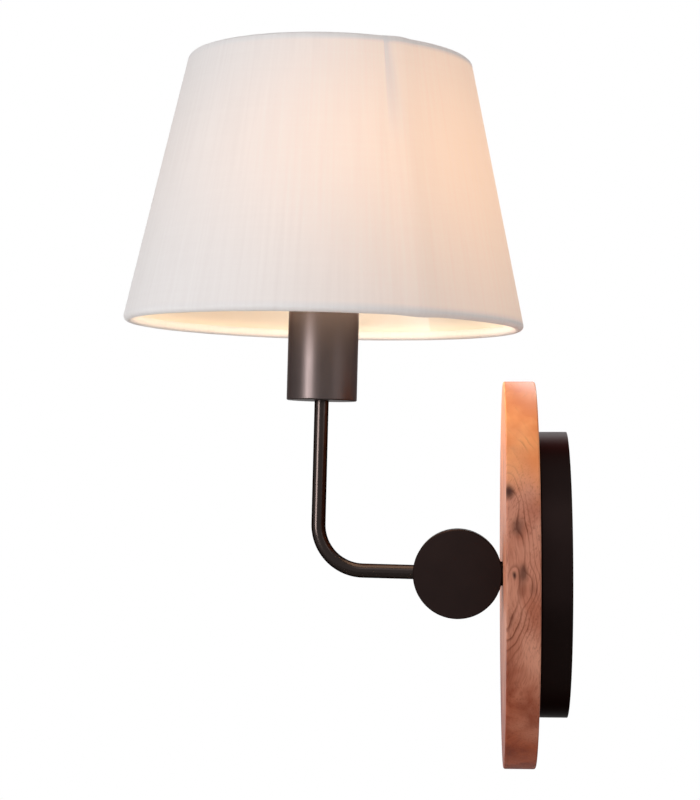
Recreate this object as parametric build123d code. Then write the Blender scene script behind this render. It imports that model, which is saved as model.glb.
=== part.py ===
"""Wall lamp: a round wooden back plate on a metal canopy, a tilting knuckle, a bent arm and a fabric shade.

Millimetres. The origin is the middle of the canopy's back rim, in the plane of the wall.
-Y points out into the room, +Z up. "Reach" is a distance out from the wall, so y = -reach.
"""
from build123d import *
from math import acos, asin, atan2, cos, degrees, radians, sin, sqrt
import os

# Back plate and canopy
CANOPY_D = 158.0
CANOPY_DEPTH = 17.5
CANOPY_SHEET = 1.2
CANOPY_EDGE_R = 2.0
WOOD_D = 214.0
WOOD_T = 17.5
WOOD_EDGE_R = 1.0

# Wall bracket
STRAP_W = 22.0
STRAP_T = 2.0
STRAP_END_DEPTH = 13.0
STRAP_END_GAP = 0.4
WALL_SCREW_SPACING = 70.0
WALL_SLOT_W = 5.0
WALL_SLOT_L = 14.0
WIRE_HOLE_D = 14.0
GRUB_D = 4.0
GRUB_REACH = 8.5
GRUB_TAIL = 2.0
GRUB_SOCKET_AF = 2.0
GRUB_SOCKET_DEPTH = 2.0
EARTH_SCREW_D = 4.0
EARTH_SCREW_DROP = 16.0

# Pan-head screws with a cross recess, and the ones that hold the wood
PAN_HEAD_D = 7.0
PAN_HEAD_H = 2.4
PAN_HEAD_EDGE_R = 0.8
RECESS_L = 4.2
RECESS_W = 1.0
RECESS_DEPTH = 1.2
WOOD_SCREW_COUNT = 3
WOOD_SCREW_D = 3.5
WOOD_SCREW_BITE = 11.0
WOOD_SCREW_CIRCLE_D = 110.0

# Terminal block on the strap
BLOCK_W = 18.0
BLOCK_H = 17.0
BLOCK_DEPTH = 10.0
BLOCK_GAP = 4.0
BLOCK_SCREW_D = 2.5
BLOCK_SCREW_DROP = 4.0
POLE_PITCH = 9.0
POLE_SCREW_D = 3.0
POLE_SCREW_L = 4.0
POLE_SCREW_RISE = 4.0
POLE_SLOT_W = 0.6
POLE_SLOT_DEPTH = 0.7

# Hollow nipple through wood and canopy, and what clamps it
NIPPLE_D = 10.0
NIPPLE_BORE = 7.6
NIPPLE_TAIL = 1.6
NIPPLE_WASHER_D = 18.0
NIPPLE_WASHER_T = 1.2
NIPPLE_NUT_AF = 14.0
NIPPLE_NUT_H = 4.0
BUSH_FLANGE_T = 1.2
BUSH_WALL = 0.8
BUSH_LENGTH = 5.0

# Knuckle
DRUM_D = 49.5
DRUM_RIM = 3.0
DRUM_FACE = 2.6
DRUM_EDGE = 0.5
CAP_T = 2.6
KNUCKLE_GAP = 0.4
YOKE_WALL = 2.1
YOKE_EAR_T = 2.4
YOKE_HALF_H = 9.5
YOKE_BLOCK = 8.5
YOKE_BORE_GAP = 0.5
FRICTION_WASHER_T = 0.8
FRICTION_WASHER_D = 18.0
SPRING_WASHER_T = 0.4
SPRING_WASHER_RISE = 0.8
SPRING_WASHER_D = 17.0
PIVOT_BOLT_D = 5.0
PIVOT_HEAD_D = 9.4
PIVOT_SOCKET_AF = 3.0
PIVOT_SOCKET_DEPTH = 1.5
PIVOT_BOSS_D = 10.0
PIVOT_BLIND = 1.6
SLEEVE_WALL = 1.75
TILT_TO_WALL = 8.0
TILT_TO_ROOM = 30.0
ARM_LEAN = 1.3

# Arm
TUBE_D = 8.0
TUBE_WALL = 1.0
TUBE_END = 0.8
ARM_REACH = 78.5
ARM_BEND_R = 25.5
LOCKNUT_AF = 11.0
LOCKNUT_H = 3.5
LOCKNUT_SEAT_D = 13.0
LOCKNUT_SEAT_RISE = 1.2

# Lampholder cup and lampholder
CUP_RISE = 94.5
CUP_D = 39.5
CUP_H = 60.0
CUP_WALL = 1.0
CUP_FLOOR = 1.2
CUP_EDGE_R = 0.8
TUBE_GRIP = 7.0
HOLDER_D = 35.0
HOLDER_WALL = 2.0
HOLDER_NECK_D = 16.0
HOLDER_NECK_H = 5.0
HOLDER_DOME_H = 8.0
HOLDER_SHOULDER = 22.0
HOLDER_SPIGOT_H = 6.0
HOLDER_SPIGOT_STEP = 0.9
HOLDER_FLOOR_RISE = 1.0
INSERT_RISE = 17.0
INSERT_LEDGE = 2.0
INSERT_H = 14.0
COLLAR_D = 38.0
COLLAR_H = 12.0
FLANGE_T = 1.5
SHELL_BORE = 26.9
SHELL_WALL = 0.5
SHELL_H = 26.0
CONTACT_W = 5.0
CONTACT_T = 0.5
CONTACT_H = 3.6
CONTACT_FOOT = 6.0

# Shade and its carrier
SHADE_RING_D = 50.0
SHADE_RING_H = 3.5
CARRIER_PLATE_D = 64.0
CARRIER_PLATE_T = 1.5
CARRIER_ARM_COUNT = 3
CARRIER_WIRE_D = 3.0
CARRIER_BEND_R = 8.0
SHADE_RISE = 136.0
SHADE_H = 150.0
SHADE_BOTTOM_D = 224.0
SHADE_TOP_D = 160.5
SHADE_WIRE_D = 3.0
LINER_T = 0.6
FABRIC_T = 0.5
GLUE_GAP = 0.05

# Bulb
BULB_D = 60.0
BULB_LENGTH = 106.0
BULB_GLASS_T = 1.0
BULB_FLARE_R = 36.0
BULB_CAP_D = 26.2
BULB_CAP_H = 22.0
BULB_CAP_WALL = 0.5
BULB_CAP_TAPER = 2.6
BULB_INSULATOR_D = 11.0
BULB_INSULATOR_H = 3.0
BULB_BUTTON_D = 9.0
BULB_BUTTON_H = 1.2
BULB_NECK_GRIP = 3.0

# Leads
LEAD_D = 1.9
LEAD_SPACING = 2.3
LEAD_STAND_OFF = 1.5
LEAD_BEND_R = 3.5
LEAD_SPLAY_R = 6.0
LEAD_STRAIGHT = 3.2
LEAD_LOOP_DROP = 8.0
LEAD_LOOP_HALF = 4.5
HOLDER_POLE_PITCH = 12.0

# Clearances, and how far a cutter runs past a face
FIT = 0.1
RUN_GAP = 0.08
FACE_GAP = 0.05
STOP_GAP = 0.3
ARM_NOTCH_GAP = 0.2
CUT = 1.0

# Places along the reach
CANOPY_FLOOR = CANOPY_DEPTH - CANOPY_SHEET
WOOD_FRONT = CANOPY_DEPTH + WOOD_T
PIVOT_REACH = WOOD_FRONT + KNUCKLE_GAP + DRUM_D / 2
ARM_Y = -PIVOT_REACH - ARM_REACH
NUT_REACH = CANOPY_FLOOR - NIPPLE_WASHER_T
NIPPLE_BACK = NUT_REACH - NIPPLE_NUT_H - NIPPLE_TAIL
BUSH_BACK = NIPPLE_BACK - BUSH_FLANGE_T
BLOCK_FRONT = STRAP_T + BLOCK_DEPTH
LEAD_REACH = STRAP_T + LEAD_STAND_OFF + LEAD_D / 2

# Places up the strap
STRAP_HALF = sqrt((CANOPY_D / 2 - CANOPY_SHEET - STRAP_END_GAP) ** 2 - (STRAP_W / 2) ** 2)
BLOCK_BOTTOM = WALL_SCREW_SPACING / 2 + WALL_SLOT_L / 2 + BLOCK_GAP
BLOCK_Z = BLOCK_BOTTOM + BLOCK_H / 2

# Inside the knuckle, measured from the pivot
DRUM_BORE_R = DRUM_D / 2 - DRUM_RIM
SLEEVE_D = NIPPLE_D + 2 * SLEEVE_WALL
YOKE_SIDE = NIPPLE_D / 2 + YOKE_WALL
EAR_INNER = YOKE_SIDE - YOKE_EAR_T
FACE_X = YOKE_SIDE + FRICTION_WASHER_T + 2 * FACE_GAP
CAP_X = -YOKE_SIDE - SPRING_WASHER_RISE - 2 * FACE_GAP
BOLT_END = FACE_X + DRUM_FACE - PIVOT_BLIND
YOKE_FACE = sqrt((DRUM_BORE_R - YOKE_BORE_GAP) ** 2 - YOKE_HALF_H ** 2)
YOKE_INNER = YOKE_FACE - YOKE_BLOCK
NIPPLE_FRONT = PIVOT_REACH - YOKE_INNER
NUT_SEAT = DRUM_BORE_R - LOCKNUT_SEAT_RISE
TUBE_INNER = NUT_SEAT - LOCKNUT_H - TUBE_END
SLEEVE_HALF_ANGLE = degrees(asin((SLEEVE_D / 2 + STOP_GAP) / DRUM_BORE_R))

# Heights of the lampholder's pieces above the pivot, arm upright
CUP_TOP = CUP_RISE + CUP_H
HOLDER_BOTTOM = CUP_RISE + CUP_FLOOR + LOCKNUT_H
TUBE_TOP = HOLDER_BOTTOM + TUBE_GRIP
HOLDER_FLOOR = TUBE_TOP + HOLDER_FLOOR_RISE
SHOULDER_Z = HOLDER_BOTTOM + HOLDER_SHOULDER
SPIGOT_TOP = SHOULDER_Z + HOLDER_SPIGOT_H
INSERT_BOTTOM = HOLDER_BOTTOM + INSERT_RISE
INSERT_TOP = INSERT_BOTTOM + INSERT_H
COLLAR_BOTTOM = CUP_TOP + FLANGE_T
COLLAR_TOP = COLLAR_BOTTOM + COLLAR_H
PLATE_BOTTOM = COLLAR_BOTTOM + SHADE_RING_H
PLATE_TOP = PLATE_BOTTOM + CARRIER_PLATE_T
SPIGOT_R = HOLDER_D / 2 - HOLDER_SPIGOT_STEP
INSERT_R = SPIGOT_R - HOLDER_WALL
BULB_TIP = INSERT_TOP + CONTACT_H
BULB_CAP_BOTTOM = BULB_TIP + BULB_BUTTON_H + BULB_INSULATOR_H
BULB_CAP_TOP = BULB_CAP_BOTTOM + BULB_CAP_H

# Shade: distances from the line through the wire rings' middles, and the cone's lean
LINER_IN = SHADE_WIRE_D / 2 + GLUE_GAP
LINER_OUT = LINER_IN + LINER_T
FABRIC_IN = LINER_OUT + GLUE_GAP
FABRIC_OUT = FABRIC_IN + FABRIC_T
RING_BOTTOM = Vector(SHADE_BOTTOM_D / 2 - FABRIC_OUT, SHADE_RISE + FABRIC_OUT)
RING_TOP = Vector(SHADE_TOP_D / 2 - FABRIC_OUT, SHADE_RISE + SHADE_H - FABRIC_OUT)
CONE_ANGLE = degrees(atan2(RING_BOTTOM.X - RING_TOP.X, RING_TOP.Y - RING_BOTTOM.Y))
CONE_OUTWARD = Vector(cos(radians(CONE_ANGLE)), sin(radians(CONE_ANGLE)))

# The rest pose turns the upright arm about the pivot, towards the wall
REST = Pos(0, -PIVOT_REACH, 0) * Rot(-ARM_LEAN, 0, 0) * Pos(0, PIVOT_REACH, 0)


def along_y(radius, reach_from, reach_to):
    """A round bar on the knuckle's centre line, between two reaches."""
    middle = -(reach_from + reach_to) / 2
    return Pos(0, middle, 0) * Rot(90, 0, 0) * Cylinder(radius, reach_to - reach_from)


def along_x(radius, x_from, x_to):
    """A round bar on the pivot's axis."""
    middle = (x_from + x_to) / 2
    return Pos(middle, -PIVOT_REACH, 0) * Rot(0, 90, 0) * Cylinder(radius, x_to - x_from)


def ring_y(outer_d, inner_d, reach_from, reach_to):
    """A washer or sleeve on the knuckle's centre line."""
    return along_y(outer_d / 2, reach_from, reach_to) - along_y(inner_d / 2, reach_from, reach_to)


def hex_bar(across_flats, height):
    """A hexagon bar standing on the XY plane."""
    return extrude(RegularPolygon(across_flats / 2, 6, major_radius=False), height)


def outline(*points):
    """A closed face in the XZ plane from (radius, height) points."""
    return make_face(Plane.XZ * Polyline(*points, close=True))


def spun(face):
    """A face in the XZ plane, revolved about the arm's upright axis."""
    return Pos(0, ARM_Y, 0) * revolve(face, Axis.Z)


def upright_ring(outer_r, inner_r, bottom, top):
    """A plain ring about the arm's upright axis."""
    return spun(outline((inner_r, bottom), (outer_r, bottom), (outer_r, top), (inner_r, top)))


def wire_along(diameter, points, radii):
    """A round wire along straight runs joined by arcs."""
    path = FilletPolyline(*points, radius=radii)
    return sweep(Plane(path @ 0, z_dir=path % 0) * Circle(diameter / 2), path=path)


def pan_screw(diameter, length):
    """A pan-head screw, its head above the XY plane and its shank below."""
    head = Pos(0, 0, PAN_HEAD_H / 2) * Cylinder(PAN_HEAD_D / 2, PAN_HEAD_H)
    head = fillet(head.edges().group_by(Axis.Z)[-1], PAN_HEAD_EDGE_R)
    for turn in (0, 90):
        head -= Pos(0, 0, PAN_HEAD_H) * Rot(0, 0, turn) * Box(RECESS_L, RECESS_W, 2 * RECESS_DEPTH)
    return head + Pos(0, 0, -length / 2) * Cylinder(diameter / 2, length)


def strap_hole(diameter, height):
    """A cutter through the strap, square to the wall."""
    return Pos(0, -STRAP_T / 2, height) * Rot(90, 0, 0) * Cylinder(diameter / 2, STRAP_T + 2 * CUT)


def wood_screw_places():
    """Where the wood screws stand round the centre line, in the wall's plane."""
    step = 360 / WOOD_SCREW_COUNT
    return [Rot(0, step * i, 0) * Pos(0, 0, -WOOD_SCREW_CIRCLE_D / 2) for i in range(WOOD_SCREW_COUNT)]


def lead_pair(points_for_side, radii):
    """Two insulated leads, one each side of the arm's middle plane."""
    return [wire_along(LEAD_D, points_for_side(side), radii) for side in (1, -1)]


# Wall side

def make_wall_bracket():
    """A strap along the wall, its two ends bent out for the canopy's grub screws."""
    side_view = FilletPolyline(
        (-STRAP_END_DEPTH, STRAP_HALF), (0, STRAP_HALF), (0, -STRAP_HALF), (-STRAP_END_DEPTH, -STRAP_HALF),
        radius=STRAP_T)
    inner_half = STRAP_HALF - STRAP_T
    inside = Polyline(
        (-STRAP_END_DEPTH, -STRAP_HALF), (-STRAP_END_DEPTH, -inner_half), (-STRAP_T, -inner_half),
        (-STRAP_T, inner_half), (-STRAP_END_DEPTH, inner_half), (-STRAP_END_DEPTH, STRAP_HALF))
    profile = make_face(Plane.YZ * Curve(side_view.edges() + inside.edges()))
    strap = extrude(profile, STRAP_W / 2, both=True)
    for side in (1, -1):
        slot = extrude(SlotOverall(WALL_SLOT_L, WALL_SLOT_W, rotation=90), STRAP_T, both=True)
        strap -= Pos(0, -STRAP_T / 2, side * WALL_SCREW_SPACING / 2) * Rot(90, 0, 0) * slot
        strap -= Pos(0, -GRUB_REACH, side * STRAP_HALF) * Cylinder(GRUB_D / 2, 2 * (STRAP_T + CUT))
    strap -= strap_hole(WIRE_HOLE_D, 0)
    strap -= strap_hole(EARTH_SCREW_D, -EARTH_SCREW_DROP)
    strap -= strap_hole(BLOCK_SCREW_D, BLOCK_Z - BLOCK_SCREW_DROP)
    return strap


def make_earth_screw():
    """A pan-head screw in the strap, flush with its back."""
    return Pos(0, -STRAP_T, -EARTH_SCREW_DROP) * Rot(90, 0, 0) * pan_screw(EARTH_SCREW_D, STRAP_T)


def make_canopy():
    """A shallow round pan, open to the wall."""
    pan = along_y(CANOPY_D / 2, 0, CANOPY_DEPTH)
    pan = fillet(pan.edges().filter_by(GeomType.CIRCLE).sort_by(Axis.Y)[0], CANOPY_EDGE_R)
    pan -= along_y(CANOPY_D / 2 - CANOPY_SHEET, -CUT, CANOPY_FLOOR)
    pan -= along_y(NIPPLE_D / 2 + FIT, 0, CANOPY_DEPTH + CUT)
    for place in wood_screw_places():
        pan -= place * along_y(WOOD_SCREW_D / 2 + FIT, 0, CANOPY_DEPTH + CUT)
    for side in (1, -1):
        rim = Pos(0, -GRUB_REACH, side * CANOPY_D / 2)
        pan -= rim * Cylinder(GRUB_D / 2 + FIT, 2 * (CANOPY_SHEET + CUT))
    return pan


def make_canopy_grub_screws():
    """Socket screws, flush with the rim, threaded into the strap's bent ends."""
    length = CANOPY_D / 2 - STRAP_HALF + STRAP_T + GRUB_TAIL
    screw = Pos(0, 0, -length / 2) * Cylinder(GRUB_D / 2 - FACE_GAP, length)
    screw -= Pos(0, 0, -GRUB_SOCKET_DEPTH) * hex_bar(GRUB_SOCKET_AF, GRUB_SOCKET_DEPTH)
    return [Pos(0, -GRUB_REACH, 0) * Rot(turn, 0, 0) * Pos(0, 0, CANOPY_D / 2 - CANOPY_SHEET / 2) * screw
            for turn in (0, 180)]


def make_wood_disc():
    """A turned board with softened edges, bored for the nipple and the screws."""
    disc = along_y(WOOD_D / 2, CANOPY_DEPTH, WOOD_FRONT)
    disc = fillet(disc.edges().filter_by(GeomType.CIRCLE), WOOD_EDGE_R)
    disc -= along_y(NIPPLE_D / 2 + FIT, CANOPY_DEPTH - CUT, WOOD_FRONT + CUT)
    for place in wood_screw_places():
        disc -= place * along_y(WOOD_SCREW_D / 2, CANOPY_DEPTH - CUT, CANOPY_DEPTH + WOOD_SCREW_BITE)
    return disc


def make_wood_screws():
    """Screws from inside the canopy into the board."""
    screw = Rot(-90, 0, 0) * pan_screw(WOOD_SCREW_D, CANOPY_SHEET + WOOD_SCREW_BITE)
    return [place * Pos(0, -CANOPY_FLOOR, 0) * screw for place in wood_screw_places()]


def make_terminal_block():
    """A two-pole block with a recess for each pole's screw."""
    block = Pos(0, -STRAP_T - BLOCK_DEPTH / 2, BLOCK_Z) * Box(BLOCK_W, BLOCK_DEPTH, BLOCK_H)
    for side in (1, -1):
        pole = Pos(side * POLE_PITCH / 2, 0, BLOCK_Z + POLE_SCREW_RISE)
        block -= pole * along_y(POLE_SCREW_D / 2 + FIT, BLOCK_FRONT - POLE_SCREW_L - FIT, BLOCK_FRONT + CUT)
    screw_hole = along_y(BLOCK_SCREW_D / 2 + FIT, 0, BLOCK_FRONT + CUT)
    return block - Pos(0, 0, BLOCK_Z - BLOCK_SCREW_DROP) * screw_hole


def make_terminal_screws():
    """The poles' slotted clamping screws."""
    screw = along_y(POLE_SCREW_D / 2, BLOCK_FRONT - POLE_SCREW_L, BLOCK_FRONT)
    screw -= Pos(0, -BLOCK_FRONT, 0) * Box(POLE_SCREW_D + CUT, 2 * POLE_SLOT_DEPTH, POLE_SLOT_W)
    return [Pos(side * POLE_PITCH / 2, 0, BLOCK_Z + POLE_SCREW_RISE) * screw for side in (1, -1)]


def make_terminal_block_screw():
    """Holds the block on the strap."""
    place = Pos(0, -BLOCK_FRONT, BLOCK_Z - BLOCK_SCREW_DROP)
    return place * Rot(90, 0, 0) * pan_screw(BLOCK_SCREW_D, BLOCK_FRONT)


def make_nipple_nut():
    """Hexagon nut that clamps knuckle, wood and canopy together."""
    nut = Pos(0, -NUT_REACH + NIPPLE_NUT_H, 0) * Rot(90, 0, 0) * hex_bar(NIPPLE_NUT_AF, NIPPLE_NUT_H)
    return nut - along_y(NIPPLE_D / 2 + FACE_GAP, 0, CANOPY_DEPTH)


def make_nipple_bush():
    """Plastic bush that keeps the leads off the nipple's edge."""
    spigot_d = NIPPLE_BORE - 2 * FACE_GAP
    bush = along_y(NIPPLE_D / 2, BUSH_BACK, NIPPLE_BACK)
    bush += along_y(spigot_d / 2, BUSH_BACK, NIPPLE_BACK + BUSH_LENGTH)
    return bush - along_y(spigot_d / 2 - BUSH_WALL, BUSH_BACK - CUT, NIPPLE_BACK + BUSH_LENGTH + CUT)


def make_knuckle_yoke():
    """Fixed fork: a block on the nipple and two ears round the pivot."""
    side_view = Pos(YOKE_FACE / 2, 0) * Rectangle(YOKE_FACE, 2 * YOKE_HALF_H) + Circle(YOKE_HALF_H)
    fork = extrude(Plane.YZ * side_view, YOKE_SIDE, both=True)
    gap = YOKE_INNER + 2 * YOKE_HALF_H
    fork -= Pos(0, YOKE_INNER - gap / 2, 0) * Box(2 * EAR_INNER, gap, 2 * (YOKE_HALF_H + CUT))
    fork = Pos(0, -PIVOT_REACH, 0) * fork
    fork -= along_x(PIVOT_BOSS_D / 2 + RUN_GAP, -YOKE_SIDE - CUT, YOKE_SIDE + CUT)
    return fork - along_y(NIPPLE_D / 2 + FACE_GAP, 0, NIPPLE_FRONT + CUT)


def wall_lead_points(side):
    """From the knuckle through the nipple, then up the strap to the terminal block."""
    x_nipple = side * LEAD_SPACING / 2
    x_pole = side * POLE_PITCH / 2
    return [(x_nipple, -NIPPLE_FRONT, 0), (x_nipple, -LEAD_REACH, 0),
            (x_pole, -LEAD_REACH, BLOCK_BOTTOM - LEAD_STRAIGHT), (x_pole, -LEAD_REACH, BLOCK_BOTTOM)]


# Knuckle, moving pieces

def make_knuckle_drum():
    """Round housing with a closed face, a tapped boss, the arm's seat and a slot that stops the tilt."""
    drum = along_x(DRUM_D / 2, CAP_X, FACE_X + DRUM_FACE)
    drum = chamfer(drum.edges().filter_by(GeomType.CIRCLE).sort_by(Axis.X)[-1], DRUM_EDGE)
    drum -= along_x(DRUM_BORE_R, CAP_X - CUT, FACE_X)
    drum += along_x(PIVOT_BOSS_D / 2, EAR_INNER, FACE_X)
    drum -= along_x(PIVOT_BOLT_D / 2 + FACE_GAP, 0, BOLT_END)
    drum += along_y(LOCKNUT_SEAT_D / 2, PIVOT_REACH + NUT_SEAT, PIVOT_REACH + DRUM_BORE_R + DRUM_RIM / 2)
    drum -= along_y(TUBE_D / 2 + FACE_GAP, PIVOT_REACH + TUBE_INNER, PIVOT_REACH + DRUM_D / 2 + CUT)
    slot_half = SLEEVE_D / 2 + STOP_GAP
    low_end = -SLEEVE_HALF_ANGLE - TILT_TO_ROOM
    high_end = SLEEVE_HALF_ANGLE + TILT_TO_WALL
    section = Pos(0, DRUM_BORE_R + DRUM_RIM / 2) * Rectangle(2 * slot_half, DRUM_RIM + 2 * CUT)
    slot = Rot(low_end, 0, 0) * revolve(section, Axis.X, high_end - low_end)
    return drum - Pos(0, -PIVOT_REACH, 0) * slot


def make_knuckle_cap():
    """Cover disc with a boss for the second ear and a sunk seat for the pivot bolt."""
    outer_x = CAP_X - CAP_T
    cap = along_x(DRUM_D / 2, outer_x, CAP_X)
    cap = chamfer(cap.edges().filter_by(GeomType.CIRCLE).sort_by(Axis.X)[0], DRUM_EDGE)
    cap += along_x(PIVOT_BOSS_D / 2, CAP_X, -EAR_INNER)
    cap -= along_x(PIVOT_BOLT_D / 2 + FIT, outer_x - CUT, 0)
    return cap - pivot_head(FACE_GAP)


def pivot_head(gap):
    """The pivot bolt's sunk head, or with a gap the seat for it."""
    small = PIVOT_BOLT_D / 2 + gap
    large = PIVOT_HEAD_D / 2 + gap
    height = large - small
    return Pos(CAP_X - CAP_T + height / 2, -PIVOT_REACH, 0) * Rot(0, 90, 0) * Cone(large, small, height)


def make_pivot_bolt():
    """Socket bolt through the cap into the drum's boss."""
    outer_x = CAP_X - CAP_T
    bolt = pivot_head(0) + along_x(PIVOT_BOLT_D / 2, outer_x, BOLT_END - FIT)
    socket = hex_bar(PIVOT_SOCKET_AF, PIVOT_SOCKET_DEPTH)
    return bolt - Pos(outer_x, -PIVOT_REACH, 0) * Rot(0, 90, 0) * socket


def make_friction_washer():
    """Fibre washer between the drum's face and the near ear."""
    x_from = YOKE_SIDE + FACE_GAP
    washer = along_x(FRICTION_WASHER_D / 2, x_from, x_from + FRICTION_WASHER_T)
    return washer - along_x(PIVOT_BOSS_D / 2 + FIT, 0, FACE_X + CUT)


def make_spring_washer():
    """Coned disc spring between the cap and the far ear."""
    x_cap = CAP_X + FACE_GAP
    x_ear = x_cap + SPRING_WASHER_RISE
    inner = PIVOT_BOSS_D / 2 + FIT
    outer = SPRING_WASHER_D / 2
    section = make_face(Polyline(
        (x_cap, inner), (x_cap + SPRING_WASHER_T, inner), (x_ear, outer), (x_ear - SPRING_WASHER_T, outer),
        close=True))
    return Pos(0, -PIVOT_REACH, 0) * revolve(section, Axis.X)


# Arm and lampholder

def make_arm_tube():
    """Tube out of the drum, bent up to the lampholder cup."""
    points = [(0, -PIVOT_REACH - TUBE_INNER, 0), (0, ARM_Y, 0), (0, ARM_Y, TUBE_TOP)]
    return wire_along(TUBE_D, points, ARM_BEND_R) - wire_along(TUBE_D - 2 * TUBE_WALL, points, ARM_BEND_R)


def make_tube_locknut():
    """Nut on the tube's end, against its seat inside the drum."""
    nut = Pos(0, -PIVOT_REACH - NUT_SEAT + LOCKNUT_H, 0) * Rot(90, 0, 0) * hex_bar(LOCKNUT_AF, LOCKNUT_H)
    return nut - along_y(TUBE_D / 2 + FACE_GAP, PIVOT_REACH, PIVOT_REACH + DRUM_D / 2)


def make_lampholder_cup():
    """Drawn cup, open at the top, with the tube through its floor."""
    radius = CUP_D / 2
    cup = upright_ring(radius, TUBE_D / 2 + FACE_GAP, CUP_RISE, CUP_TOP)
    low_edges = cup.edges().filter_by(GeomType.CIRCLE).group_by(Axis.Z)[0]
    cup = fillet(low_edges.sort_by(SortBy.RADIUS)[-1], CUP_EDGE_R)
    return cup - Pos(0, ARM_Y, CUP_RISE + CUP_FLOOR + CUP_H / 2) * Cylinder(radius - CUP_WALL, CUP_H)


def make_lampholder_nut():
    """Nut on the tube, on the cup's floor."""
    nut = hex_bar(LOCKNUT_AF, LOCKNUT_H) - Cylinder(TUBE_D / 2 + FACE_GAP, 2 * (LOCKNUT_H + CUT))
    return Pos(0, ARM_Y, CUP_RISE + CUP_FLOOR) * nut


def make_lampholder_base():
    """Domed lower half of the lampholder, threaded on the tube, with a ledge for the insert."""
    bore = TUBE_D / 2 + FACE_GAP
    neck = HOLDER_NECK_D / 2
    outer = HOLDER_D / 2
    inner = INSERT_R - INSERT_LEDGE
    dome_bottom = HOLDER_BOTTOM + HOLDER_NECK_H
    dome_top = dome_bottom + HOLDER_DOME_H
    return spun(outline(
        (bore, HOLDER_BOTTOM), (neck, HOLDER_BOTTOM), (neck, dome_bottom), (outer, dome_top),
        (outer, SHOULDER_Z), (SPIGOT_R, SHOULDER_Z), (SPIGOT_R, SPIGOT_TOP), (INSERT_R + FIT, SPIGOT_TOP),
        (INSERT_R + FIT, INSERT_BOTTOM), (inner, INSERT_BOTTOM), (inner, dome_top),
        (neck - HOLDER_WALL, HOLDER_FLOOR), (bore, HOLDER_FLOOR)))


def make_lampholder_skirt():
    """Upper half of the lampholder: a skirt in the cup, a flange on its rim and a threaded collar."""
    outer = HOLDER_D / 2
    flange = CUP_D / 2
    collar = COLLAR_D / 2
    mouth = INSERT_R + 2 * FIT
    spigot = SPIGOT_R + FIT
    return spun(outline(
        (spigot, SHOULDER_Z), (outer, SHOULDER_Z), (outer, CUP_TOP), (flange, CUP_TOP),
        (flange, COLLAR_BOTTOM), (collar, COLLAR_BOTTOM), (collar, COLLAR_TOP), (mouth, COLLAR_TOP),
        (mouth, SPIGOT_TOP + FIT), (spigot, SPIGOT_TOP + FIT)))


def make_centre_contact():
    """Sprung strip, folded back over its foot to meet the bulb's button."""
    top = CONTACT_H - CONTACT_T
    fold = CONTACT_FOOT - 2 * CONTACT_T
    section = outline(
        (-CONTACT_FOOT, 0), (CONTACT_FOOT, 0), (CONTACT_FOOT, CONTACT_T), (CONTACT_T, CONTACT_H),
        (-CONTACT_FOOT / 2, CONTACT_H), (-CONTACT_FOOT / 2, top), (0, top), (fold, CONTACT_T),
        (-CONTACT_FOOT, CONTACT_T))
    return Pos(0, ARM_Y, INSERT_TOP) * extrude(section, CONTACT_W / 2, both=True)


def holder_lead_points(side):
    """From the drum along the tube, then out to the insert's poles."""
    x_tube = side * LEAD_SPACING / 2
    x_pole = side * HOLDER_POLE_PITCH / 2
    return [(x_tube, -PIVOT_REACH - TUBE_INNER, 0), (x_tube, ARM_Y, 0), (x_tube, ARM_Y, HOLDER_FLOOR),
            (x_pole, ARM_Y, INSERT_BOTTOM - LEAD_STRAIGHT), (x_pole, ARM_Y, INSERT_BOTTOM)]


def knuckle_lead_points(side):
    """From the tube's end, under the pivot bolt, to the nipple."""
    x = side * LEAD_SPACING / 2
    start = (REST * Pos(x, -PIVOT_REACH - TUBE_INNER + FIT, 0)).position
    loop = [(-TUBE_INNER + LEAD_STRAIGHT, 0), (-LEAD_LOOP_HALF, -LEAD_LOOP_DROP),
            (LEAD_LOOP_HALF, -LEAD_LOOP_DROP), (YOKE_INNER - LEAD_STRAIGHT, 0), (YOKE_INNER, 0)]
    return [start] + [(x, -PIVOT_REACH + y, z) for y, z in loop]


# Shade, carrier and bulb

def carrier_arm_points():
    """From under the carrier plate out and down to the bottom wire ring."""
    height = PLATE_BOTTOM - CARRIER_WIRE_D / 2
    start = Vector(SHADE_RING_D / 2 + CARRIER_WIRE_D / 2 + FIT, 0, height)
    knee = Vector(CARRIER_PLATE_D / 2, 0, height)
    ring = Vector(RING_BOTTOM.X, 0, RING_BOTTOM.Y)
    return [start, knee, ring - (ring - knee).normalized() * (SHADE_WIRE_D / 2 + FIT)]


def carrier_wires(diameter):
    """The three arms, or cutters for them: one points away from +X, the others stand evenly about it."""
    arm = wire_along(diameter, carrier_arm_points(), CARRIER_BEND_R)
    step = 360 / CARRIER_ARM_COUNT
    return [Pos(0, ARM_Y, 0) * Rot(0, 0, 180 + step * i) * arm for i in range(CARRIER_ARM_COUNT)]


def shade_wire(middle):
    """A wire ring through a point of the shade's section."""
    return Pos(0, ARM_Y, middle.Y) * Torus(middle.X, SHADE_WIRE_D / 2)


def make_shade_liner():
    """Stiff cone between the two wire rings."""
    corners = [RING_BOTTOM + CONE_OUTWARD * LINER_IN, RING_BOTTOM + CONE_OUTWARD * LINER_OUT,
               RING_TOP + CONE_OUTWARD * LINER_OUT, RING_TOP + CONE_OUTWARD * LINER_IN]
    return spun(outline(*[(corner.X, corner.Y) for corner in corners]))


def hem_edges(middle, turn):
    """Fabric rolled round a wire ring and back to the liner: outer arc, cut edge, inner arc."""
    arcs = []
    for radius in (FABRIC_OUT, FABRIC_IN):
        sweep_angle = 360 - degrees(acos(SHADE_WIRE_D / 2 / radius))
        arcs.append(CenterArc(middle, radius, CONE_ANGLE, turn * sweep_angle))
    return [arcs[0], Line(arcs[0] @ 1, arcs[1] @ 1), arcs[1]]


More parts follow.
